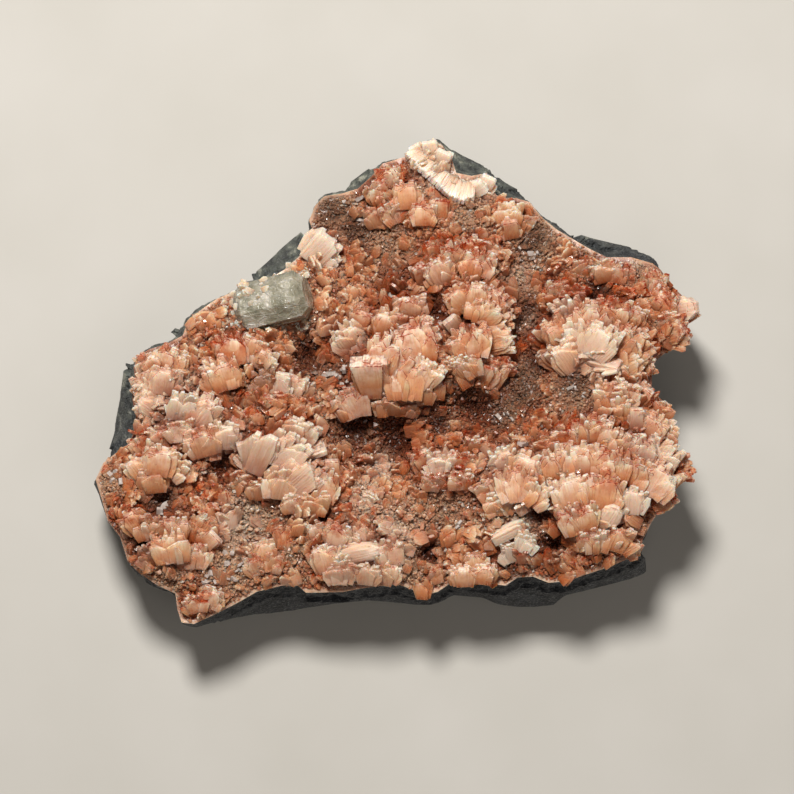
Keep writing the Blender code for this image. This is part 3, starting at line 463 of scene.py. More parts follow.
def crust_map():
    """Heights of the solids' crust over a grid of places, and which places are on it."""
    crust = frame["nodes"]["stilbite_crust"].data
    corners = [v.co for v in crust.vertices]
    tree = BVHTree.FromPolygons(corners, [tuple(p.vertices) for p in crust.polygons])
    heights = np.zeros((MAP_TALL, MAP_WIDE))
    found = np.zeros((MAP_TALL, MAP_WIDE), bool)
    down = Vector((0, 0, -1))
    for row in range(MAP_TALL):
        for column in range(MAP_WIDE):
            x = (MAP_LEFT + column * MAP_STEP) * MM
            y = (MAP_BOTTOM + row * MAP_STEP) * MM
            spot = tree.ray_cast(Vector((x, y, 0.1)), down)[0]
            if spot:
                heights[row, column] = spot.z / MM
                found[row, column] = True
    return heights, found


def neighbours(grid):
    """A map moved by one step in each of four directions."""
    return [np.roll(grid, step, axis) for axis in (0, 1) for step in (1, -1)]


def spread(heights, found, rounds):
    """Smooths the map, and carries its heights a little past the crust's edge."""
    weight = found.astype(float)
    for _ in range(rounds):
        total = heights * weight
        count = sum(neighbours(weight))
        heights = (total + sum(neighbours(total))) / np.maximum(weight + count, 1e-6)
        weight = np.clip(weight + count, 0, 1)
    return heights


raw_heights, on_crust = crust_map()
smooth_heights = spread(raw_heights, on_crust, 5)


def look_up(grid, x, y):
    """A map's value at each place, between its four nearest grid points."""
    u = np.clip((np.asarray(x) - MAP_LEFT) / MAP_STEP, 0, MAP_WIDE - 1.001)
    v = np.clip((np.asarray(y) - MAP_BOTTOM) / MAP_STEP, 0, MAP_TALL - 1.001)
    i = u.astype(int)
    j = v.astype(int)
    u = u - i
    v = v - j
    low = grid[j, i] * (1 - u) + grid[j, i + 1] * u
    high = grid[j + 1, i] * (1 - u) + grid[j + 1, i + 1] * u
    return low * (1 - v) + high * v


def edge_distance():
    """How far each place on the map is from the crust's broken edge, in millimetres."""
    depth = np.zeros(on_crust.shape)
    inside = on_crust
    for _ in range(EDGE_STEPS):
        depth += inside
        inside = np.logical_and.reduce([inside, *neighbours(inside)])
    return depth * MAP_STEP


edge_map = edge_distance()


def sink(x, y):
    """How far the crust is pressed down in its dark hollows."""
    inwards = np.clip(look_up(edge_map, x, y) / HOLLOW_MARGIN, 0, 1)
    return HOLLOW_DEPTH * share_of(SHADED_HOLLOWS, x, y) * inwards


def clumps():
    """Knobs of the druse, over the map: none at the broken edge."""
    heights = np.zeros(on_crust.shape)
    for row, column in zip(*np.nonzero(edge_map > FLAT_MARGIN)):
        spot = Vector((column * MAP_STEP * KNOB_SCALE, row * MAP_STEP * KNOB_SCALE, 3.0))
        finer = FINER_HEIGHT * abs(noise.noise(spot * FINER_KNOBS))
        heights[row, column] = abs(noise.noise(spot)) + finer
    return KNOB_HEIGHT * heights * np.clip((edge_map - FLAT_MARGIN) / KNOB_RISE, 0, 1)


clump_map = clumps()


def ground(x, y):
    """Height of the crust at each place, with its knobs and hollows."""
    return look_up(smooth_heights, x, y) + look_up(clump_map, x, y) - GROUND_DROP - sink(x, y)


def above(x, y, height):
    """The point at some height above the ground."""
    return np.array([x, y, float(ground(x, y)) + height])


# Crystal shapes, each modelled once

def start_block():
    """A unit block that is being edited."""
    deselect_all()
    bpy.ops.mesh.primitive_cube_add(size=1.0, location=(0, 0, 0))
    bpy.ops.object.mode_set(mode="EDIT")
    return bpy.context.object


def shape_arrays(thing):
    """Points, faces and edge values of a modelled crystal, then the model is removed.
    Points on the outline of the broad faces have edge value 1, the inset ones 0."""
    bpy.ops.object.mode_set(mode="OBJECT")
    mesh = thing.data
    points = np.array([v.co for v in mesh.vertices])
    faces = [tuple(p.vertices) for p in mesh.polygons]
    edge = np.ones(len(points))
    for polygon in mesh.polygons:
        if polygon.select:
            edge[list(polygon.vertices)] = 0.0
    bpy.data.objects.remove(thing, do_unlink=True)
    return {"points": points, "faces": faces, "edge": edge}


def cut_corner(point, normal):
    """Cuts the active model off past a plane and closes the cut."""
    bpy.ops.mesh.select_all(action="SELECT")
    bpy.ops.mesh.bisect(plane_co=point, plane_no=normal, clear_outer=True, use_fill=True)


def model_crystal(cuts, taper, inset, dome):
    """A crystal one unit wide, long and thick: a block with corners cut off, a thinner crest
    and broad faces that are inset, so that each has a narrow sloping margin."""
    thing = start_block()
    for point, normal in cuts:
        cut_corner(point, normal)
    form = bmesh.from_edit_mesh(thing.data)
    for vert in form.verts:
        vert.co.z *= 1 - taper * (vert.co.y + 0.5)
    bmesh.update_edit_mesh(thing.data)
    bpy.ops.mesh.select_all(action="DESELECT")
    bpy.ops.mesh.select_mode(type="FACE")
    form = bmesh.from_edit_mesh(thing.data)
    form.normal_update()
    for face in form.faces:
        face.select = abs(face.normal.z) > BROAD_FACE
    bmesh.update_edit_mesh(thing.data)
    bpy.ops.mesh.inset(thickness=inset, depth=dome)
    return shape_arrays(thing)


def outline_cuts(right, left):
    """Planes that cut a unit block to an outline, given from base to crest on each side."""
    cuts = []
    for side, points in ((1, right), (-1, left)):
        places = [Vector((side * x, y, 0)) for x, y in points]
        for start, end in zip(places, places[1:]):
            along = end - start
            cuts.append((start, Vector((along.y, -along.x, 0)) * side))
    return cuts


def coffin_cuts(low, left, right, waist):
    """The same for a coffin: narrow at the base, widest at the waist, and with its crest from
    left to right."""
    return outline_cuts([(low, -0.5), (0.5, waist), (right, 0.5)],
                        [(low, -0.5), (0.5, waist), (left, 0.5)])


LENS_SIDE = [(0.36, -0.5), (0.5, 0.0), (0.42, 0.32), (0.16, 0.5)]
WEDGE_SIDE = [(0.27, -0.5), (0.5, 0.5)]

# Each form's outline, how much thinner its crest is, and its margin's width and height.
FORMS = {
    "tablet": (coffin_cuts(0.42, 0.24, 0.24, 0.16), 0.30, 0.05, 0.015),
    "broad": (coffin_cuts(0.44, 0.42, 0.22, 0.34), 0.30, 0.06, 0.015),
    "left": (coffin_cuts(0.42, 0.38, -0.06, 0.12), 0.35, 0.05, 0.01),
    "right": (coffin_cuts(0.42, 0.00, 0.40, 0.22), 0.35, 0.05, 0.01),
    "spear": (coffin_cuts(0.36, 0.05, 0.04, 0.02), 0.40, 0.06, 0.01),
    "lens": (outline_cuts(LENS_SIDE, LENS_SIDE), 0.30, 0.20, 0.14),
    "block": (coffin_cuts(0.46, 0.46, 0.42, 0.40), 0.15, 0.08, 0.015),
    "wedge": (outline_cuts(WEDGE_SIDE, WEDGE_SIDE), -0.10, 0.05, 0.015),
}
CRYSTALS = {name: model_crystal(*form) for name, form in FORMS.items()}


def model_grain():
    """A grain of druse: a tiny blade with a slanting tip."""
    thing = start_block()
    cut_corner(Vector((0.5, 0.10, 0)), Vector((0.8, 0.6, 0.25)))
    cut_corner(Vector((-0.5, 0.25, 0)), Vector((-0.7, 0.8, -0.2)))
    bpy.ops.mesh.select_all(action="DESELECT")
    return shape_arrays(thing)


GRAIN = model_grain()


# Many crystals joined in one mesh

class Bag:
    """Crystals gathered for one piece, with what their materials need at each corner."""

    def __init__(self):
        self.crystals = []

    def add(self, shape, middle, axes, size, shade, stain):
        """One crystal: its axes are across, along and normal; size is in the same order."""
        unit = shape["points"]
        across, along, normal = axes
        place = (np.outer(unit[:, 0] * size[0], across)
                 + np.outer(unit[:, 1] * size[1], along)
                 + np.outer(unit[:, 2] * size[2], normal)) + middle
        growth = np.column_stack((shape["edge"], unit[:, 1] + 0.5, np.full(len(unit), shade),
                                  np.ones(len(unit))))  # the last is the depth, known later, painted as shade
        grain = np.column_stack((unit[:, 0] * size[0] + shade * 40, unit[:, 1] * size[1]))
        self.crystals.append((keep_inside(place), shape["faces"], growth, stain, grain))

    def shade_depth(self, crowns):
        """Gives every point its depth between the crests around it, which the materials paint as
        shade.
        """
        for points, _, growth, *_ in self.crystals:
            growth[:, 3] = depth_below(crowns, points)

    def grown_together(self, name):
        """All the crystals as one solid, with nothing left inside where they cross."""
        others = bpy.data.collections.new(name)
        for crystal in self.crystals[1:]:
            others.objects.link(mesh_of(name + "_part", [crystal]))
        whole = mesh_of(name, self.crystals[:1])
        bpy.context.scene.collection.objects.link(whole)
        apply_modifier(whole, "BOOLEAN", operation="UNION", solver="MANIFOLD",
                       operand_type="COLLECTION", collection=others)
        for part in list(others.objects):
            mesh = part.data
            bpy.data.objects.remove(part, do_unlink=True)
            bpy.data.meshes.remove(mesh)
        bpy.data.collections.remove(others)
        bpy.context.scene.collection.objects.unlink(whole)
        return whole

    def build(self, name, material, slot, replaced, solid):
        """Makes the piece, as one solid or as loose grains, gives it its material and hides the
        solids that it replaces.
        """
        thing = self.grown_together(name) if solid else mesh_of(name, self.crystals)
        thing.data.materials.clear()
        thing.data.materials.append(material)
        bpy.context.scene.collection.objects.link(thing)
        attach(thing, "root")
        if replaced:
            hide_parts(*replaced)


def crown_map(bags):
    """Height of the crystals' crests over the map."""
    crown = smooth_heights - NO_CREST
    for bag in bags:
        points = np.concatenate([crystal[0] for crystal in bag.crystals])
        i = np.clip(((points[:, 0] - MAP_LEFT) / MAP_STEP).astype(int), 0, MAP_WIDE - 1)
        j = np.clip(((points[:, 1] - MAP_BOTTOM) / MAP_STEP).astype(int), 0, MAP_TALL - 1)
        np.maximum.at(crown, (j, i), points[:, 2])
    return crown


def widened(crown, reach, smoothing):
    """The crests' heights carried over the gaps between them."""
    for _ in range(reach):
        crown = np.maximum.reduce([crown, *neighbours(crown)])
    return spread(crown, np.ones(crown.shape, bool), smoothing)


def depth_below(crowns, points):
    """How deep each point lies between the crests around it, from 0 to 1."""
    depth = np.zeros(len(points))
    for crown, (_, _, free, full) in zip(crowns, (GAPS, VALLEYS)):
        gap = look_up(crown, points[:, 0], points[:, 1]) - points[:, 2]
        depth = np.maximum(depth, np.clip((gap - free) / full, 0, 1))
    return depth


def write_layers(mesh, domain, growth, stain):
    """Stores what the materials read, in two colour layers."""
    for name, rows in (("growth", growth), ("stain", stain)):
        layer = mesh.attributes.new(name, "FLOAT_COLOR", domain)
        layer.data.foreach_set("color", rows.astype(np.float32).ravel())


def mesh_of(name, crystals):
    """A mesh object of crystals, with their growth, stain and grain at each face corner. Only
    the broad faces' margins keep their full edge value, and the crystals' sides lose most."""
    faces = []
    count = 0
    for points, own_faces, *_ in crystals:
        faces += [tuple(count + i for i in face) for face in own_faces]
        count += len(points)
    mesh = bpy.data.meshes.new(name)
    mesh.from_pydata(np.concatenate([c[0] for c in crystals]) * MM, [], faces)
    corners = np.zeros(len(mesh.loops), np.int32)
    mesh.loops.foreach_get("vertex_index", corners)
    growth = np.concatenate([c[2] for c in crystals])[corners]
    sizes = np.array([len(face) for face in faces])
    starts = np.concatenate(([0], np.cumsum(sizes)[:-1]))
    sides = np.repeat(np.minimum.reduceat(growth[:, 0], starts) > 0.5, sizes)
    growth[sides, 0] = SIDE_EDGE
    stain = np.repeat([c[3] for c in crystals], [len(c[0]) for c in crystals], axis=0)[corners]
    write_layers(mesh, "CORNER", growth, stain)
    grain = mesh.uv_layers.new(name="grain")
    rows = np.concatenate([c[4] for c in crystals])
    grain.data.foreach_set("uv", rows[corners].astype(np.float32).ravel())
    return bpy.data.objects.new(name, mesh)


# The solids' box, a little smaller.
LOW = np.array(cad_low) / MM + 0.05
HIGH = np.array(cad_high) / MM - 0.05


def keep_inside(place):
    """Moves a crystal back where it would stand out of the solids' box."""
    over = np.maximum(place.max(axis=0) - HIGH, 0)
    under = np.maximum(LOW - place.min(axis=0), 0)
    return place - over + under


def unit_vector(vector):
    """The same direction, one unit long."""
    return vector / np.linalg.norm(vector)


def turned(vector, axis, degrees):
    """A vector turned about an axis."""
    angle = math.radians(degrees)
    return (vector * math.cos(angle) + np.cross(axis, vector) * math.sin(angle)
            + axis * np.dot(axis, vector) * (1 - math.cos(angle)))


def standing(x, y, length, crest, facing, tilt, thickness):
    """Where a tablet stands: its middle, and its axes across, along and normal to its face."""
    facing = math.radians(facing)
    tilt = math.radians(tilt)
    crest = math.radians(crest)
    normal = np.array([math.sin(tilt) * math.cos(facing), math.sin(tilt) * math.sin(facing),
                       math.cos(tilt)])
    rise = -(normal[0] * math.cos(crest) + normal[1] * math.sin(crest)) / normal[2]
    along = unit_vector(np.array([math.cos(crest), math.sin(crest), rise]))
    across = unit_vector(np.cross(along, normal))
    lift = (0.5 * along[2] - SUNK_SHARE) * length + 0.5 * thickness * normal[2]
    return above(x, y, max(lift, LEAST_LIFT)), (across, along, normal)


def leaning(axes, turn, lean, roll=0.0):
    """A sheaf's axes turned in its plane, then leaned over and rolled: one plate's own."""
    across, along, normal = axes
    along = turned(turned(along, normal, turn), across, lean)
    normal = turned(turned(normal, across, lean), along, roll)
    across = unit_vector(np.cross(along, normal))
    return across, along, np.cross(across, along)


def any_side(along, chance):
    """Any direction square to another one."""
    around = chance.uniform(0, 2 * math.pi)
    return unit_vector(np.cross(along, np.array([math.cos(around), math.sin(around), 0.1])))


def stain_and_shade_at(x, y, chance):
    """Rust, grey and white of the place where a crystal grows, and the painted shade of its hollow
    or valley.
    """
    rust, grey, white, dark, valley = zones_at(x, y)
    rust = min(1.0, 0.38 + 0.75 * rust + chance.uniform(-0.3, 0.3))
    # The last value is painted shade: the greater of the hollow's share and most of the valley's.
    return rust * (1 - 0.6 * white), grey, white, max(dark, 0.8 * valley)


def add_sheaf(bag, row, chance, layers=LAYERS, step=PLATE_STEP, shake=SHAKE, fan=FAN):
    """A sheaf of plates: layers side by side and behind each other, longer and narrower to the
    back, whose tips make a jagged crest. A stout crystal leads a named, narrow or long sheaf
    and some of the other large ones. Short plates stand in front of the large ones, unless a
    form is named."""
    x, y, width, length, crest, facing, tilt, *form = row
    thickness = width * THICKNESS_SHARE
    middle, axes = standing(x, y, length, crest, facing, tilt, thickness)
    across, along, normal = axes
    root = middle - along * (0.5 * length)
    front = root + normal * (0.42 * thickness)
    stain = stain_and_shade_at(x, y, chance)
    shade = chance.uniform(0.2, 0.8)
    large = layers > 3
    single = large and (form or width <= NARROW or length >= LONG * width)
    if single:
        layers = 2
        bag.add(CRYSTALS[form[0] if form else "block"], front + along * (0.5 * length), axes,
                (width, length, min(4.4, max(1.8, 0.42 * width))), shade, stain)
    elif large and chance.random() < 0.5:
        long = length * chance.uniform(0.72, 0.9)
        lean = chance.gauss(-4, 3)
        own_along = turned(along, across, lean)
        bag.add(CRYSTALS[chance.choice(("left", "tablet", "right"))],
                front + own_along * (0.5 * long),
                (across, own_along, turned(normal, across, lean)),
                (width * 0.8, long, min(3.2, max(1.7, 0.4 * width))), shade, stain)
    for _ in range(FRONT_PLATES if large and not form else 0):
        side = chance.uniform(-0.45, 0.45)
        lean = chance.gauss(-14, 8)
        own = leaning(axes, -side * 50 + chance.gauss(0, 8), lean)
        long = length * chance.uniform(0.38, 0.66)
        wide = chance.uniform(1.8, 3.6)
        spot = root + across * (side * width) + normal * (thickness * chance.uniform(0.5, 0.75))
        bag.add(CRYSTALS[chance.choice(("tablet", "left", "right", "broad"))],
                spot + own[1] * (0.5 * long), own,
                (wide, long, wide * chance.uniform(0.3, 0.5)), chance.random(), stain)
    columns = max(1, round(width / step))
    for layer in range(layers):
        behind = (layer + 1) / layers if single else layer / max(1, layers - 1)
        count = max(1, columns - 1 + (layer + 1) // 2)
        layer_lean = (behind - 0.45) * 2 * LAYER_LEAN + chance.gauss(0, shake)
        for column in range(count):
            share = (column + 0.5) / count - 0.5 + chance.uniform(-0.16, 0.16) / count
            wide = min(width, width / count * chance.uniform(1.1, 1.75))
            long = length * (0.74 + 0.26 * behind) * chance.uniform(0.88, 1.06)
            long *= 1 - 0.5 * share**2
            thick = max(0.9, thickness / layers * chance.uniform(1.2, 2.2))
            turn = -share * fan + chance.gauss(0, shake)
            lean = layer_lean + chance.gauss(0, shake)
            own = leaning(axes, turn, lean, chance.gauss(0, 1.6 * shake) + share * 16)
            foot = root + across * (share * width * 0.66) + normal * (thickness * (0.5 - behind))
            spot = foot + own[1] * (0.5 * long) + own[0] * (share * width * 0.15)
            kind = chance.choice(("tablet", "left", "right", "spear", "left", "right"))
            own_shade = min(1.0, max(0.0, shade + chance.uniform(-0.35, 0.35)))
            bag.add(CRYSTALS[kind], spot, own, (wide, long, thick), own_shade, stain)


def add_band(bag, seed):
    """The silky band: fine blades side by side, each a little longer or more raised."""
    chance = random.Random(seed)
    rows = np.array(BAND)
    for number in range(BAND_BLADES):
        place = number / (BAND_BLADES - 1) * (len(rows) - 1)
        x, y, long, crest, tilt = [np.interp(place, range(len(rows)), rows[:, i]) for i in range(5)]
        long *= chance.uniform(0.92, 1.08)
        crest += chance.gauss(0, 3)
        _, axes = standing(x, y, long, crest, crest + 180, tilt + chance.gauss(0, 2.5), 1)
        middle = above(x, y, BAND_LIFT)
        middle[2] += chance.uniform(-0.15, 0.15)
        bag.add(CRYSTALS[chance.choice(("lens", "tablet"))], middle, axes,
                (chance.uniform(0.8, 1.4), long, 3.0), chance.uniform(0.1, 0.7),
                (chance.uniform(0.0, 0.3), 0.0, chance.uniform(0.0, 0.8), 0.0))


def scattered(step, margin, seed):
    """Places on the crust, on a shaken grid, at least some way in from its edge."""
    chance = random.Random(seed)
    places = []
    rows = int(MAP_TALL * MAP_STEP / step)
    columns = int(MAP_WIDE * MAP_STEP / step)
    for row in range(rows):
        for column in range(columns):
            x = MAP_LEFT + (column + 0.5 * (row % 2) + chance.uniform(-0.42, 0.42)) * step
            y = MAP_BOTTOM + (row + chance.uniform(-0.42, 0.42)) * step
            places.append((x, y))
    places = np.array(places)
    return places[look_up(edge_map, places[:, 0], places[:, 1]) > margin]


ALL_ROWS = [row for rows in (*HEULANDITE.values(), *STILBITE.values()) for row in rows]


def near_sheaf(x, y, share):
    """Whether a place is under one of the leading sheaves."""
    for cx, cy, width, length, *_ in ALL_ROWS:
        if math.hypot(x - cx, y - cy) < share * (width + length):
            return True
    return False


def on_apophyllite(x, y):
    """Whether a place is under the apophyllite crystal."""
    middle_x, middle_y, half_length, half_width = APOPHYLLITE
    return abs(x - middle_x) < half_length and abs(y - middle_y) < half_width


def add_small_sheaves(bags, seed):
    """Sprays of small crystals that fill the ground between the leading sheaves, in one bag
    for each side."""
    chance = random.Random(seed)
    for x, y in scattered(SMALL_STEP, SMALL_MARGIN, seed):
        if near_sheaf(x, y, SMALL_NEAR) or on_apophyllite(x, y):
            continue
        _, grey, _, dark, valley = zones_at(x, y)
        if chance.random() < BARE[0] * grey + BARE[1] * dark + BARE[2] * valley:
            continue
        width = chance.uniform(1.7, 3.4) * chance.choice((1.0, 1.0, 1.45))
        length = width * chance.uniform(1.25, 2.1)
        crest = chance.gauss(90, 50)
        facing = crest + 180 + chance.gauss(0, 30)
        row = (x, y, width, length, crest, facing, chance.uniform(25, 60))
        add_sheaf(bags[int(x > 0)], row, chance, **SMALL_SHEAF)


def add_grains(bags, seed):
    """The druse: blocky grains that stand every way on the crust, in one bag for each side."""
    chance = random.Random(seed)
    places = scattered(GRAIN_STEP, GRAIN_MARGIN, seed)
    slope_y, slope_x = np.gradient(smooth_heights, MAP_STEP)
    levels = ground(places[:, 0], places[:, 1])
    for (x, y), level in zip(places, levels):
        if near_sheaf(x, y, GRAIN_NEAR):
            continue
        normal = np.array([-float(look_up(slope_x, x, y)), -float(look_up(slope_y, x, y)), 1.0])
        normal = unit_vector(normal + np.array([chance.gauss(0, 0.5), chance.gauss(0, 0.5), 0]))
        side = any_side(normal, chance)
        size = chance.uniform(0.5, 1.25) * (1.5 if chance.random() < 0.1 else 1.0)
        height = size * chance.uniform(1.1, 2.2)
        spot = np.array([x, y, float(level) + 0.08 * height])
        bags[int(x > 0)].add(GRAIN, spot, (side, normal, np.cross(normal, side)),
                             (size, height, size * chance.uniform(0.4, 0.8)), chance.random(),
                             stain_and_shade_at(x, y, chance))


def add_glassy(bag, seed):
    """Small clear crystals that stand every way in the grey druse."""
    chance = random.Random(seed)
    for cx, cy, radius, count in GLASSY:
        for _ in range(count):
            x = cx + chance.uniform(-radius, radius)
            y = cy + chance.uniform(-radius, radius)
            along = unit_vector(np.array([chance.gauss(0, 0.6), chance.gauss(0, 0.6), 1.0]))
            across = any_side(along, chance)
            if look_up(edge_map, x, y) < GLASSY_MARGIN:
                continue
            wide = chance.uniform(1.0, 2.3)
            long = wide * chance.uniform(1.1, 1.9)
            bag.add(CRYSTALS[chance.choice(("block", "tablet", "right"))], above(x, y, 0.3 * long),
                    (across, along, np.cross(across, along)), (wide, long, 0.6 * wide),
                    chance.random(), (0.2, 1.0, 0.0, 0.0))


# Materials

class Look:
    """A new material, whose nodes are added by short calls. An input is a value, a hex colour or
    another node's output."""

    def __init__(self, name, constants):
        self.material = bpy.data.materials.new(name)
        self.material.use_nodes = True
        self.tree = self.material.node_tree
        self.shader = self.tree.nodes["Principled BSDF"]
        self.give(self.shader, constants)
        self.where = self.put("TexCoord")["Object"]

    def give(self, node, inputs):
        """Sets a node's inputs, or links those that are another node's output."""
        for name, value in inputs.items():
            if isinstance(value, bpy.types.NodeSocket):
                self.tree.links.new(value, node.inputs[name])
            else:
                value = linear(value) if isinstance(value, str) else value
                node.inputs[name].default_value = value

    def put(self, kind, inputs=(), stops=(), **settings):
        """Adds one node, and gives its outputs. Stops are a ramp's places and hex colours."""
        node = self.tree.nodes.new("ShaderNode" + kind)
        for name, value in settings.items():
            setattr(node, name, value)
        self.give(node, dict(inputs))
        for _ in stops[2:]:
            node.color_ramp.elements.new(0.5)
        for number, (place, colour) in enumerate(stops):
            node.color_ramp.elements[number].position = place
            node.color_ramp.elements[number].color = linear(colour)
        return node.outputs

    def layer(self, name):
        """The four values of a colour layer that the crystals bring along."""
        colour, last = self.put("VertexColor", layer_name=name)
        return [*self.put("SeparateColor", {0: colour}), last]

    def noise(self, size, detail):
        """Noise whose blotches are about so many millimetres across."""
        scale = 1 / (size * MM)
        return self.put("TexNoise", {"Vector": self.where, "Scale": scale, "Detail": detail})[0]

    def ramp(self, value, *stops):
        """A colour that changes with a value."""
        return self.put("ValToRGB", {0: value}, stops)[0]

    def ranged(self, value, low, high, first, last):
        """A value brought from one range to another, and kept inside it."""
        return self.put("MapRange", {0: value, 1: low, 2: high, 3: first, 4: last})[0]

    def times(self, value, other):
        """A product, kept between 0 and 1."""
        return self.put("Math", {0: value, 1: other}, operation="MULTIPLY", use_clamp=True)[0]

    def plus(self, value, other):
        """A sum."""
        return self.put("Math", {0: value, 1: other}, operation="ADD")[0]

    def coats(self, colour, *coats):
        """A colour with others laid over it in turn, each with its share."""
        for share, tint in coats:
            colour = self.put("Mix", {0: share, 6: colour, 7: tint}, data_type="RGBA")[2]
        return colour

    def done(self, colour, gloss=None, relief=None, distance=0.0, strength=0.0):
        """Links the shader to its colour, its roughness and a bump, and gives the material."""
        inputs = {"Base Color": colour}
        if gloss:
            inputs["Roughness"] = gloss
        if relief:
            bump = {"Height": relief, "Distance": distance, "Strength": strength}
            inputs["Normal"] = self.put("Bump", bump)[0]
        self.give(self.shader, inputs)
        return self.material


def heulandite_material(name, milk, crest, body, base, stained):
    """Heulandite, and the white stilbite that grew with it: milky and translucent with a silky,
    finely lined lustre, browner at the base, and with thin rust-red iron stain on the crests.
    Painted shade darkens it deep between the crests and in the hollows and valleys."""
    look = Look(name, {"IOR": 1.50, "Subsurface Weight": 0.9, "Subsurface Scale": 0.0028,
                       "Subsurface Radius": (1.0, 0.6, 0.38)})
    edge, along, shade, depth = look.layer("growth")
    rusty, grey, white, dark = look.layer("stain")
    blotch, patch, fine = look.noise(7, 3.0), look.noise(3.5, 4.0), look.noise(0.9, 3.0)
    # The real lines along a crystal are finer than the picture shows, so they are drawn about
    # 0.8 mm apart.
    lines = look.put("UVMap", uv_map="grain")[0]
    lines = look.put("Mapping", {0: lines, "Scale": (1.2, 0.09, 1.0)})[0]
    lines = look.put("TexNoise", {"Vector": lines, "Scale": 1.0, "Detail": 3.0})[0]

    # From base to crest, then paler or warmer from crystal to crystal, with silky lines.
    colour = look.ramp(along, (0.0, base), (0.4, body), (0.78, crest), (1.0, milk))
    warm = look.plus(shade, blotch)
    pale = look.ranged(warm, 1.0, 0.6, 0.0, 0.4)
    warm = look.ranged(warm, 1.0, 1.5, 0.0, 0.6)
    silk = look.ranged(lines, 0.40, 0.62, 0.0, 0.4)

    # Iron stain: an orange veil in patches, thin red-brown lines along the crests, and specks.
    patchy = look.times(look.ranged(patch, 0.42, 0.62, 0.0, stained), rusty)
    veil = look.times(patchy, look.ranged(along, 0.2, 0.9, 0.35, 0.95))
    margin = look.ranged(edge, 0.35, 0.95, 0.0, 1.0)
    top = look.ranged(along, 0.5, 0.85, 0.0, 1.0)
    run = look.ranged(patch, 0.35, 0.58, 0.25, 1.0)
    torn = look.ranged(fine, 0.42, 0.54, 0.15, 1.0)
    for share in (top, run, rusty, torn, 5.0 * stained):
        margin = look.times(margin, share)
    specks = look.times(look.ranged(fine, 0.60, 0.70, 0.0, 0.6), patchy)
    # Painted shade: deep between the crests the colour turns to the base's brown, and the hollows
    # and valleys are laid over with dark brown.
    colour = look.coats(colour, (pale, milk), (warm, body), (silk, body),
                        (look.times(white, 0.6), "f5e4d2"), (look.times(grey, 0.6), "96765f"),
                        (look.times(depth, 0.9), base), (veil, "bb5a29"), (margin, "8a3012"),
                        (specks, "8a2f14"), (look.times(dark, 0.75), "5e2410"))
    relief = look.plus(lines, look.times(fine, 0.3))
    return look.done(colour, look.ranged(shade, 0.0, 1.0, 0.12, 0.40), relief, 0.0007, 0.7)


def druse_material():
    """Fine stilbite druse: sparkling grains, grey-brown to pink and rusty on the ridges. The
    brightest few grains are painted as glints, and painted shade darkens it deep between the
    crystals and in the hollows and valleys."""
    look = Look("drusy_stilbite", {"IOR": 1.50, "Subsurface Weight": 0.85,
                                   "Subsurface Scale": 0.0028,
                                   "Subsurface Radius": (1.0, 0.65, 0.45)})
    _, _, shade, depth = look.layer("growth")
    rusty, grey, white, dark = look.layer("stain")
    fine, patch = look.noise(0.8, 4.0), look.noise(5, 4.0)
    colour = look.ramp(shade, (0.0, "a9664a"), (0.4, "c08464"), (0.8, "d3a081"), (1.0, "e6c3a6"))
    iron = look.times(look.ranged(patch, 0.42, 0.62, 0.1, 1.0), rusty)
    # Painted glints: the few grains whose shade value is highest are painted near white.
    painted_glint = look.put("Math", {0: shade, 1: 0.96}, operation="GREATER_THAN")[0]
    specks = look.ranged(fine, 0.55, 0.72, 0.0, 0.6)
    # Laid over in turn: iron stain, grey and white druse, the painted glints, painted shade deep
    # between the crystals and in the hollows and valleys, and rust specks.
    for zone, most, tint in ((iron, 0.85, "a04820"), (grey, 0.8, "bd967a"),
                             (painted_glint, 0.7, "ecdfd0"), (white, 0.8, "ecc8ac"),
                             (depth, 0.8, "6a2608"), (dark, 0.85, "2e0d05"),
                             (specks, rusty, "90401f")):
        colour = look.coats(colour, (look.times(zone, most), tint))
    return look.done(colour, look.ranged(shade, 0.0, 1.0, 0.5, 0.14), fine, 0.0003, 0.5)


def basalt_material():
    """Basalt: dense and dark blue-grey with a dull broken surface and fine glinting grit, paler
    and greenish where it has weathered, with whitish streaks. The real grit is 0.1 to 0.3 mm,
    drawn at 0.7 mm so that it shows."""
    look = Look("basalt", {"IOR": 1.55})
    broad, middle, fine = look.noise(18, 4.0), look.noise(4, 5.0), look.noise(0.7, 3.0)
    colour = look.ramp(middle, (0.3, "121419"), (0.5, "22252b"), (0.75, "44474b"))
    # Weathered most towards the upper left of the slab.
    side = look.put("VectorMath", {0: look.where, 1: (-4.0, 9.0, 0.0)}, operation="DOT_PRODUCT")
    worn = look.ranged(look.plus(broad, side["Value"]), 0.5, 1.1, 0.0, 0.7)
    worn = look.times(worn, look.ranged(middle, 0.40, 0.56, 0.25, 1.0))
    streak = look.times(look.ranged(middle, 0.57, 0.68, 0.0, 1.0), worn)
    grit = look.ranged(fine, 0.58, 0.70, 0.0, 0.6)
    colour = look.coats(colour, (worn, "6f7367"), (streak, "b9b7a6"), (grit, "71777a"))
    relief = look.plus(middle, look.times(fine, 0.9))
    return look.done(colour, look.ranged(fine, 0.3, 0.75, 0.75, 0.42), relief, 0.0014, 0.9)


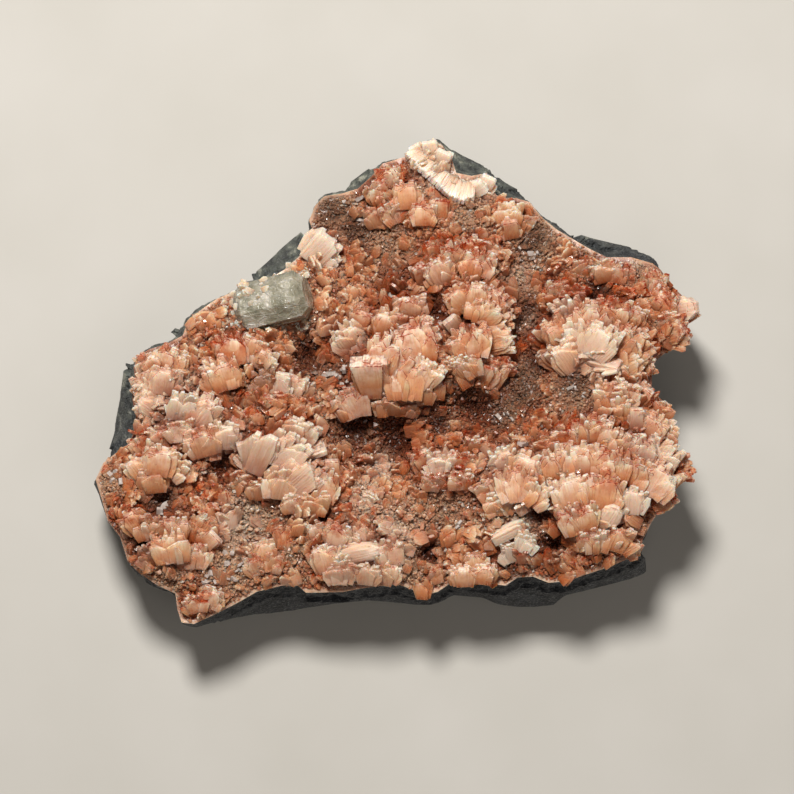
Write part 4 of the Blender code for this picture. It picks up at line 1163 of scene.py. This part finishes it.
def apophyllite_material():
    """Apophyllite: glassy and pale grey-green, cloudy and finely cracked inside, so it lets some
    light through."""
    look = Look("apophyllite", {"IOR": 1.535, "Transmission Weight": 0.4, "Subsurface Weight": 0.6,
                                "Subsurface Scale": 0.003,
                                "Subsurface Radius": (1.0, 0.95, 0.75)})
    cloud, fine = look.noise(5, 5.0), look.noise(1.2, 4.0)
    bent = look.put("VectorMath", {0: look.where, 1: (0.8, 2.0, 1.0)}, operation="MULTIPLY")[0]
    crack = look.put("TexVoronoi", {"Vector": bent, "Scale": 1 / (3.5 * MM)},
                     feature="DISTANCE_TO_EDGE")[0]
    crack = look.times(look.ranged(crack, 0.0, 0.07, 0.7, 0.0), cloud)
    colour = look.ramp(cloud, (0.34, "8e8c78"), (0.5, "b7b39e"), (0.66, "ebe5d6"))
    colour = look.coats(colour, (crack, "f3efe4"))
    return look.done(colour, look.ranged(cloud, 0.35, 0.65, 0.07, 0.30), look.plus(fine, crack),
                     0.0009, 0.7)


def glassy_material():
    """Clear apophyllite: small colourless crystals with bright glints, see-through."""
    look = Look("clear_apophyllite", {"IOR": 1.535, "Transmission Weight": 0.45})
    cloud = look.noise(1.5, 3.0)
    colour = look.ramp(cloud, (0.35, "d8c6ba"), (0.7, "f6efe9"))
    return look.done(colour, look.ranged(cloud, 0.3, 0.7, 0.04, 0.16))


def floor_material():
    """Matt pale paper."""
    look = Look("pale_paper", {"Roughness": 0.9})
    return look.done(look.ramp(look.noise(60, 3.0), (0.3, "bdbab3"), (0.7, "c3c0ba")))


# Rock and crust

def copy_of_node(node, name):
    """A merged copy of a CAD node's mesh, as a new object."""
    source = frame["nodes"][node]
    thing = bpy.data.objects.new(name, source.data.copy())
    bpy.context.scene.collection.objects.link(thing)
    make_active(thing)
    bpy.ops.object.mode_set(mode="EDIT")
    bpy.ops.mesh.select_all(action="SELECT")
    bpy.ops.mesh.remove_doubles(threshold=0.00001)
    bpy.ops.mesh.normals_make_consistent(inside=False)
    bpy.ops.object.mode_set(mode="OBJECT")
    for layer in list(thing.data.uv_layers):
        thing.data.uv_layers.remove(layer)
    thing.data.materials.clear()
    return thing


def apply_modifier(thing, kind, **settings):
    """Adds a modifier with its settings and applies it."""
    make_active(thing)
    modifier = thing.modifiers.new("shape", kind)
    for name, value in settings.items():
        setattr(modifier, name, value)
    bpy.ops.object.modifier_apply(modifier=modifier.name)


def read_vectors(thing, what):
    """A vector for each of a mesh object's points: its place, "co", or its "normal"."""
    values = np.empty(len(thing.data.vertices) * 3)
    thing.data.vertices.foreach_get(what, values)
    return values.reshape(-1, 3)


def write_points(thing, points):
    """Puts a mesh object's points where these say, in millimetres."""
    thing.data.vertices.foreach_set("co", (points * MM).astype(np.float32).ravel())
    thing.data.update()


def chip(points, seed, count, low, high, depth, calm):
    """Breaks facets off the sides: each takes away what stands past a tilted plane, less at
    its border."""
    chance = random.Random(seed)
    lowest, highest = CHIP_HEIGHTS
    side = [i for i in range(len(points)) if lowest < points[i, 2] < highest]
    for _ in range(count):
        centre = points[chance.choice(side)].copy()
        out = np.array([centre[0] * 0.8, centre[1], 0.0])
        shaken = [chance.gauss(0, 0.35), chance.gauss(0, 0.35), chance.gauss(0.1, 0.45)]
        normal = unit_vector(unit_vector(out) + np.array(shaken))
        reach = chance.uniform(low, high)
        past = (points - centre) @ normal + chance.uniform(0.2, depth)
        far = np.linalg.norm(points - centre, axis=1) / reach
        cut = (far < 1) & (past > 0)
        share = calm[cut] * np.clip((1 - far[cut]) / CHIP_BORDER, 0, 1)
        points[cut] -= np.outer(past[cut] * share, normal)
    return points


def add_basalt(material):
    """The slab: rebuilt in small faces, then chipped and roughened inwards from its solid."""
    slab = copy_of_node("basalt_matrix", "basalt_slab")
    apply_modifier(slab, "REMESH", mode="VOXEL", voxel_size=SLAB_FACE * MM, adaptivity=0.0)
    points = read_vectors(slab, "co") / MM
    top = look_up(smooth_heights, points[:, 0], points[:, 1])
    edge = look_up(edge_map, points[:, 0], points[:, 1])
    reach = np.minimum(points - LOW, HIGH - points)[:, :2].min(axis=1)
    free = (edge < SLAB_RIM) * np.clip(reach / BOX_MARGIN, 0.0, 1.0)
    start, rise = CHIPPED_BELOW
    calm = np.clip((top - start - points[:, 2]) / rise, 0, 1) * free
    for chips in CHIPS:
        points = chip(points, *chips, calm)
    write_points(slab, points)
    normals = read_vectors(slab, "normal")
    rough = np.array([noise.fractal(Vector(p) * WEAR_SCALE, 1.0, 2.0, 4) for p in points])
    start, rise = ROUGH_BELOW
    free = free * np.clip((top - start - points[:, 2]) / rise, 0, 1)
    points -= normals * ((WEAR + WEAR_SWING * np.clip(rough, -0.4, 1)) * free)[:, None]
    points[:, 2] = np.maximum(points[:, 2], 0.0)
    points = np.clip(points, LOW - 0.04, HIGH + 0.04)
    write_points(slab, points)
    slab.data.materials.append(material)
    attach(slab, "root")
    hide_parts("basalt_matrix")


def add_crust(material, crowns):
    """The drusy skin: the solid's surface in fine steps, roughened with small bumps."""
    crust = copy_of_node("stilbite_crust", "drusy_crust")
    bpy.ops.object.mode_set(mode="EDIT")
    bpy.ops.mesh.select_all(action="SELECT")
    bpy.ops.mesh.subdivide(number_cuts=CRUST_CUTS)
    bpy.ops.object.mode_set(mode="OBJECT")
    points = read_vectors(crust, "co") / MM
    x, y, _ = points.T
    upper = read_vectors(crust, "normal")[:, 2] > UPPER_SIDE
    edge = look_up(edge_map, x, y)
    blend = np.clip((edge - BUMP_MARGIN) / KNOB_RISE, 0, 1)
    coarse, fine = BUMP_SCALES
    bumps = np.array([noise.cell(Vector(p) * coarse) + noise.noise(Vector(p) * fine)
                      for p in points])
    wanted = ground(x, y) + BUMP_HEIGHT * bumps
    points[:, 2] = np.where(upper, points[:, 2] * (1 - blend) + wanted * blend, points[:, 2])
    under = ~upper
    points[under, 2] -= sink(points[under, 0], points[under, 1]) * blend[under]
    write_points(crust, points)
    growth = np.zeros((len(points), 4))
    growth[:, 2] = 0.35 + 0.3 * bumps
    # Painted shade: the last growth value is the depth between the crests, the last stain value the
    # share of a hollow or valley.
    growth[:, 3] = depth_below(crowns, points)
    rust, grey, white, dark, valley = zones_at(x, y)
    stain = np.column_stack((0.35 + 0.65 * rust, grey, np.maximum(white, edge < PALE_EDGE),
                             np.maximum(dark, 0.85 * valley)))
    write_layers(crust.data, "POINT", np.clip(growth, 0, 1), np.clip(stain, 0, 1))
    crust.data.materials.append(material)
    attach(crust, "root")
    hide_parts("stilbite_crust")


def add_apophyllite(material):
    """The apophyllite crystal: the solid with its edges worn round."""
    crystal = copy_of_node("apophyllite_crystal", "apophyllite_prism")
    apply_modifier(crystal, "BEVEL", width=WORN_EDGE * MM, segments=2, limit_method="ANGLE",
                   angle_limit=math.radians(WORN_ANGLE))
    crystal.data.materials.append(material)
    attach(crystal, "root")
    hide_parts("apophyllite_crystal")


def add_frost(bag, seed):
    """Small cream plates that grew over the apophyllite's left end and along the rim by it."""
    chance = random.Random(seed)
    crystal = frame["nodes"]["apophyllite_crystal"].data
    tree = BVHTree.FromPolygons([v.co for v in crystal.vertices],
                                [tuple(p.vertices) for p in crystal.polygons])
    for _ in range(FROST_COUNT):
        x = chance.uniform(*FROST_X)
        y = chance.uniform(*FROST_Y)
        spot = tree.ray_cast(Vector((x * MM, y * MM, 0.1)), Vector((0, 0, -1)))[0]
        bare = (x - FROST_X[0]) / (FROST_X[1] - FROST_X[0]) + (FROST_LINE - y) / FROST_FADE
        if spot and chance.random() < FROST_BARE * bare:
            continue
        if not spot and look_up(edge_map, x, y) < FROST_MARGIN:
            continue
        level = spot.z / MM if spot else float(ground(x, y))
        crest = chance.gauss(95, 60)
        wide = chance.uniform(0.9, 2.4)
        long = wide * chance.uniform(1.0, 1.7)
        _, axes = standing(x, y, long, crest, crest + 180, chance.uniform(15, 60), 1)
        middle = np.array([x, y, level]) + axes[1] * (0.25 * long)
        bag.add(CRYSTALS[chance.choice(("tablet", "left", "right", "broad"))], middle,
                axes, (wide, long, 0.35 * wide), chance.random(),
                (chance.uniform(0.1, 0.8), chance.uniform(0.0, 0.5), chance.uniform(0.0, 0.5), 0.0))


# The whole specimen

def build_specimen():
    """All pieces. Every crystal is placed before any gets painted shade by its depth below the
    crests.
    """
    add_basalt(basalt_material())
    druse = druse_material()
    heulandite = heulandite_material("heulandite", "faecdc", "f2cfab", "dca073", "8c3810", 1.0)
    rusty = heulandite_material("rust_stained_heulandite", "f4dcc2", "e9b88f", "cf8a5c", "80320c",
                                1.0)
    stilbite = heulandite_material("white_stilbite", "faf1e6", "f4e2d0", "e8c8ac", "b07850", 0.3)
    pieces = []
    for number, (name, rows) in enumerate([*HEULANDITE.items(), *STILBITE.items()]):
        bag = Bag()
        chance = random.Random(SHEAF_SEED + number)
        for row in rows:
            add_sheaf(bag, row, chance)
        if name == "stilbite_sheaf":
            add_band(bag, BAND_SEED)
        finish = (stilbite, "white_stilbite") if name in STILBITE else (heulandite, "heulandite")
        pieces.append((bag, name + "_plates", *finish, [name], True))
    left, right = Bag(), Bag()
    add_small_sheaves((left, right), SMALL_SEED)
    pieces.append((left, "small_heulandite_left", rusty, "heulandite", [], True))
    pieces.append((right, "small_heulandite_right", rusty, "heulandite", [], True))
    crown = crown_map([piece[0] for piece in pieces])
    crowns = [widened(crown, reach, smoothing) for reach, smoothing, *_ in (GAPS, VALLEYS)]
    frost = Bag()
    add_frost(frost, FROST_SEED)
    pieces.append((frost, "rim_plates", stilbite, "white_stilbite", [], True))
    glassy = Bag()
    add_glassy(glassy, GLASSY_SEED)
    pieces.append((glassy, "glassy_crystals", glassy_material(), "apophyllite", [], True))
    left, right = Bag(), Bag()
    add_grains((left, right), GRAIN_SEED)
    pieces.append((left, "druse_grains_left", druse, "druse", [], False))
    pieces.append((right, "druse_grains_right", druse, "druse", [], False))
    for bag, *rest in pieces:
        bag.shade_depth(crowns)
        bag.build(*rest)
    add_crust(druse, crowns)
    add_apophyllite(apophyllite_material())


# Floor, light and camera

def add_floor():
    """A plain pale sheet that the slab lies on."""
    deselect_all()
    bpy.ops.mesh.primitive_plane_add(size=4.0, location=(0, 0, 0))
    floor = bpy.context.object
    floor.name = "floor"
    floor.data.materials.append(floor_material())


def add_light(name, place, size, power, colour):
    """A round soft light that shines on the crystals."""
    lamp = bpy.data.lights.new(name, "AREA")
    lamp.shape = "DISK"
    lamp.size = size
    lamp.energy = power
    lamp.color = colour
    thing = bpy.data.objects.new(name, lamp)
    thing.location = place
    towards = Vector((0, 0, FOCUS_HEIGHT * MM)) - Vector(place)
    thing.rotation_euler = towards.to_track_quat("-Z", "Y").to_euler()
    bpy.context.scene.collection.objects.link(thing)


def add_studio():
    """The floor, two soft lights and a faint warm room."""
    add_floor()
    add_light("key", *KEY_LIGHT)
    add_light("fill", *FILL_LIGHT)
    world = bpy.data.worlds.new("studio")
    bpy.context.scene.world = world
    world.use_nodes = True
    back = world.node_tree.nodes["Background"]
    back.inputs[0].default_value = ROOM_COLOUR
    back.inputs[1].default_value = ROOM_LIGHT
    bpy.context.scene.view_settings.view_transform = "Standard"


def add_camera():
    """Looks straight down, from where the photograph's frame is filled."""
    camera = bpy.data.cameras.new("camera")
    camera.lens = LENS
    camera.sensor_width = SENSOR
    distance = IMAGE_SIDE * PIXEL * LENS / SENSOR
    thing = bpy.data.objects.new("camera", camera)
    thing.location = Vector((*VIEW_MIDDLE, FOCUS_HEIGHT + distance)) * MM
    bpy.context.scene.collection.objects.link(thing)
    camera.clip_end = 10.0
    bpy.context.scene.camera = thing


build_specimen()
add_studio()
add_camera()
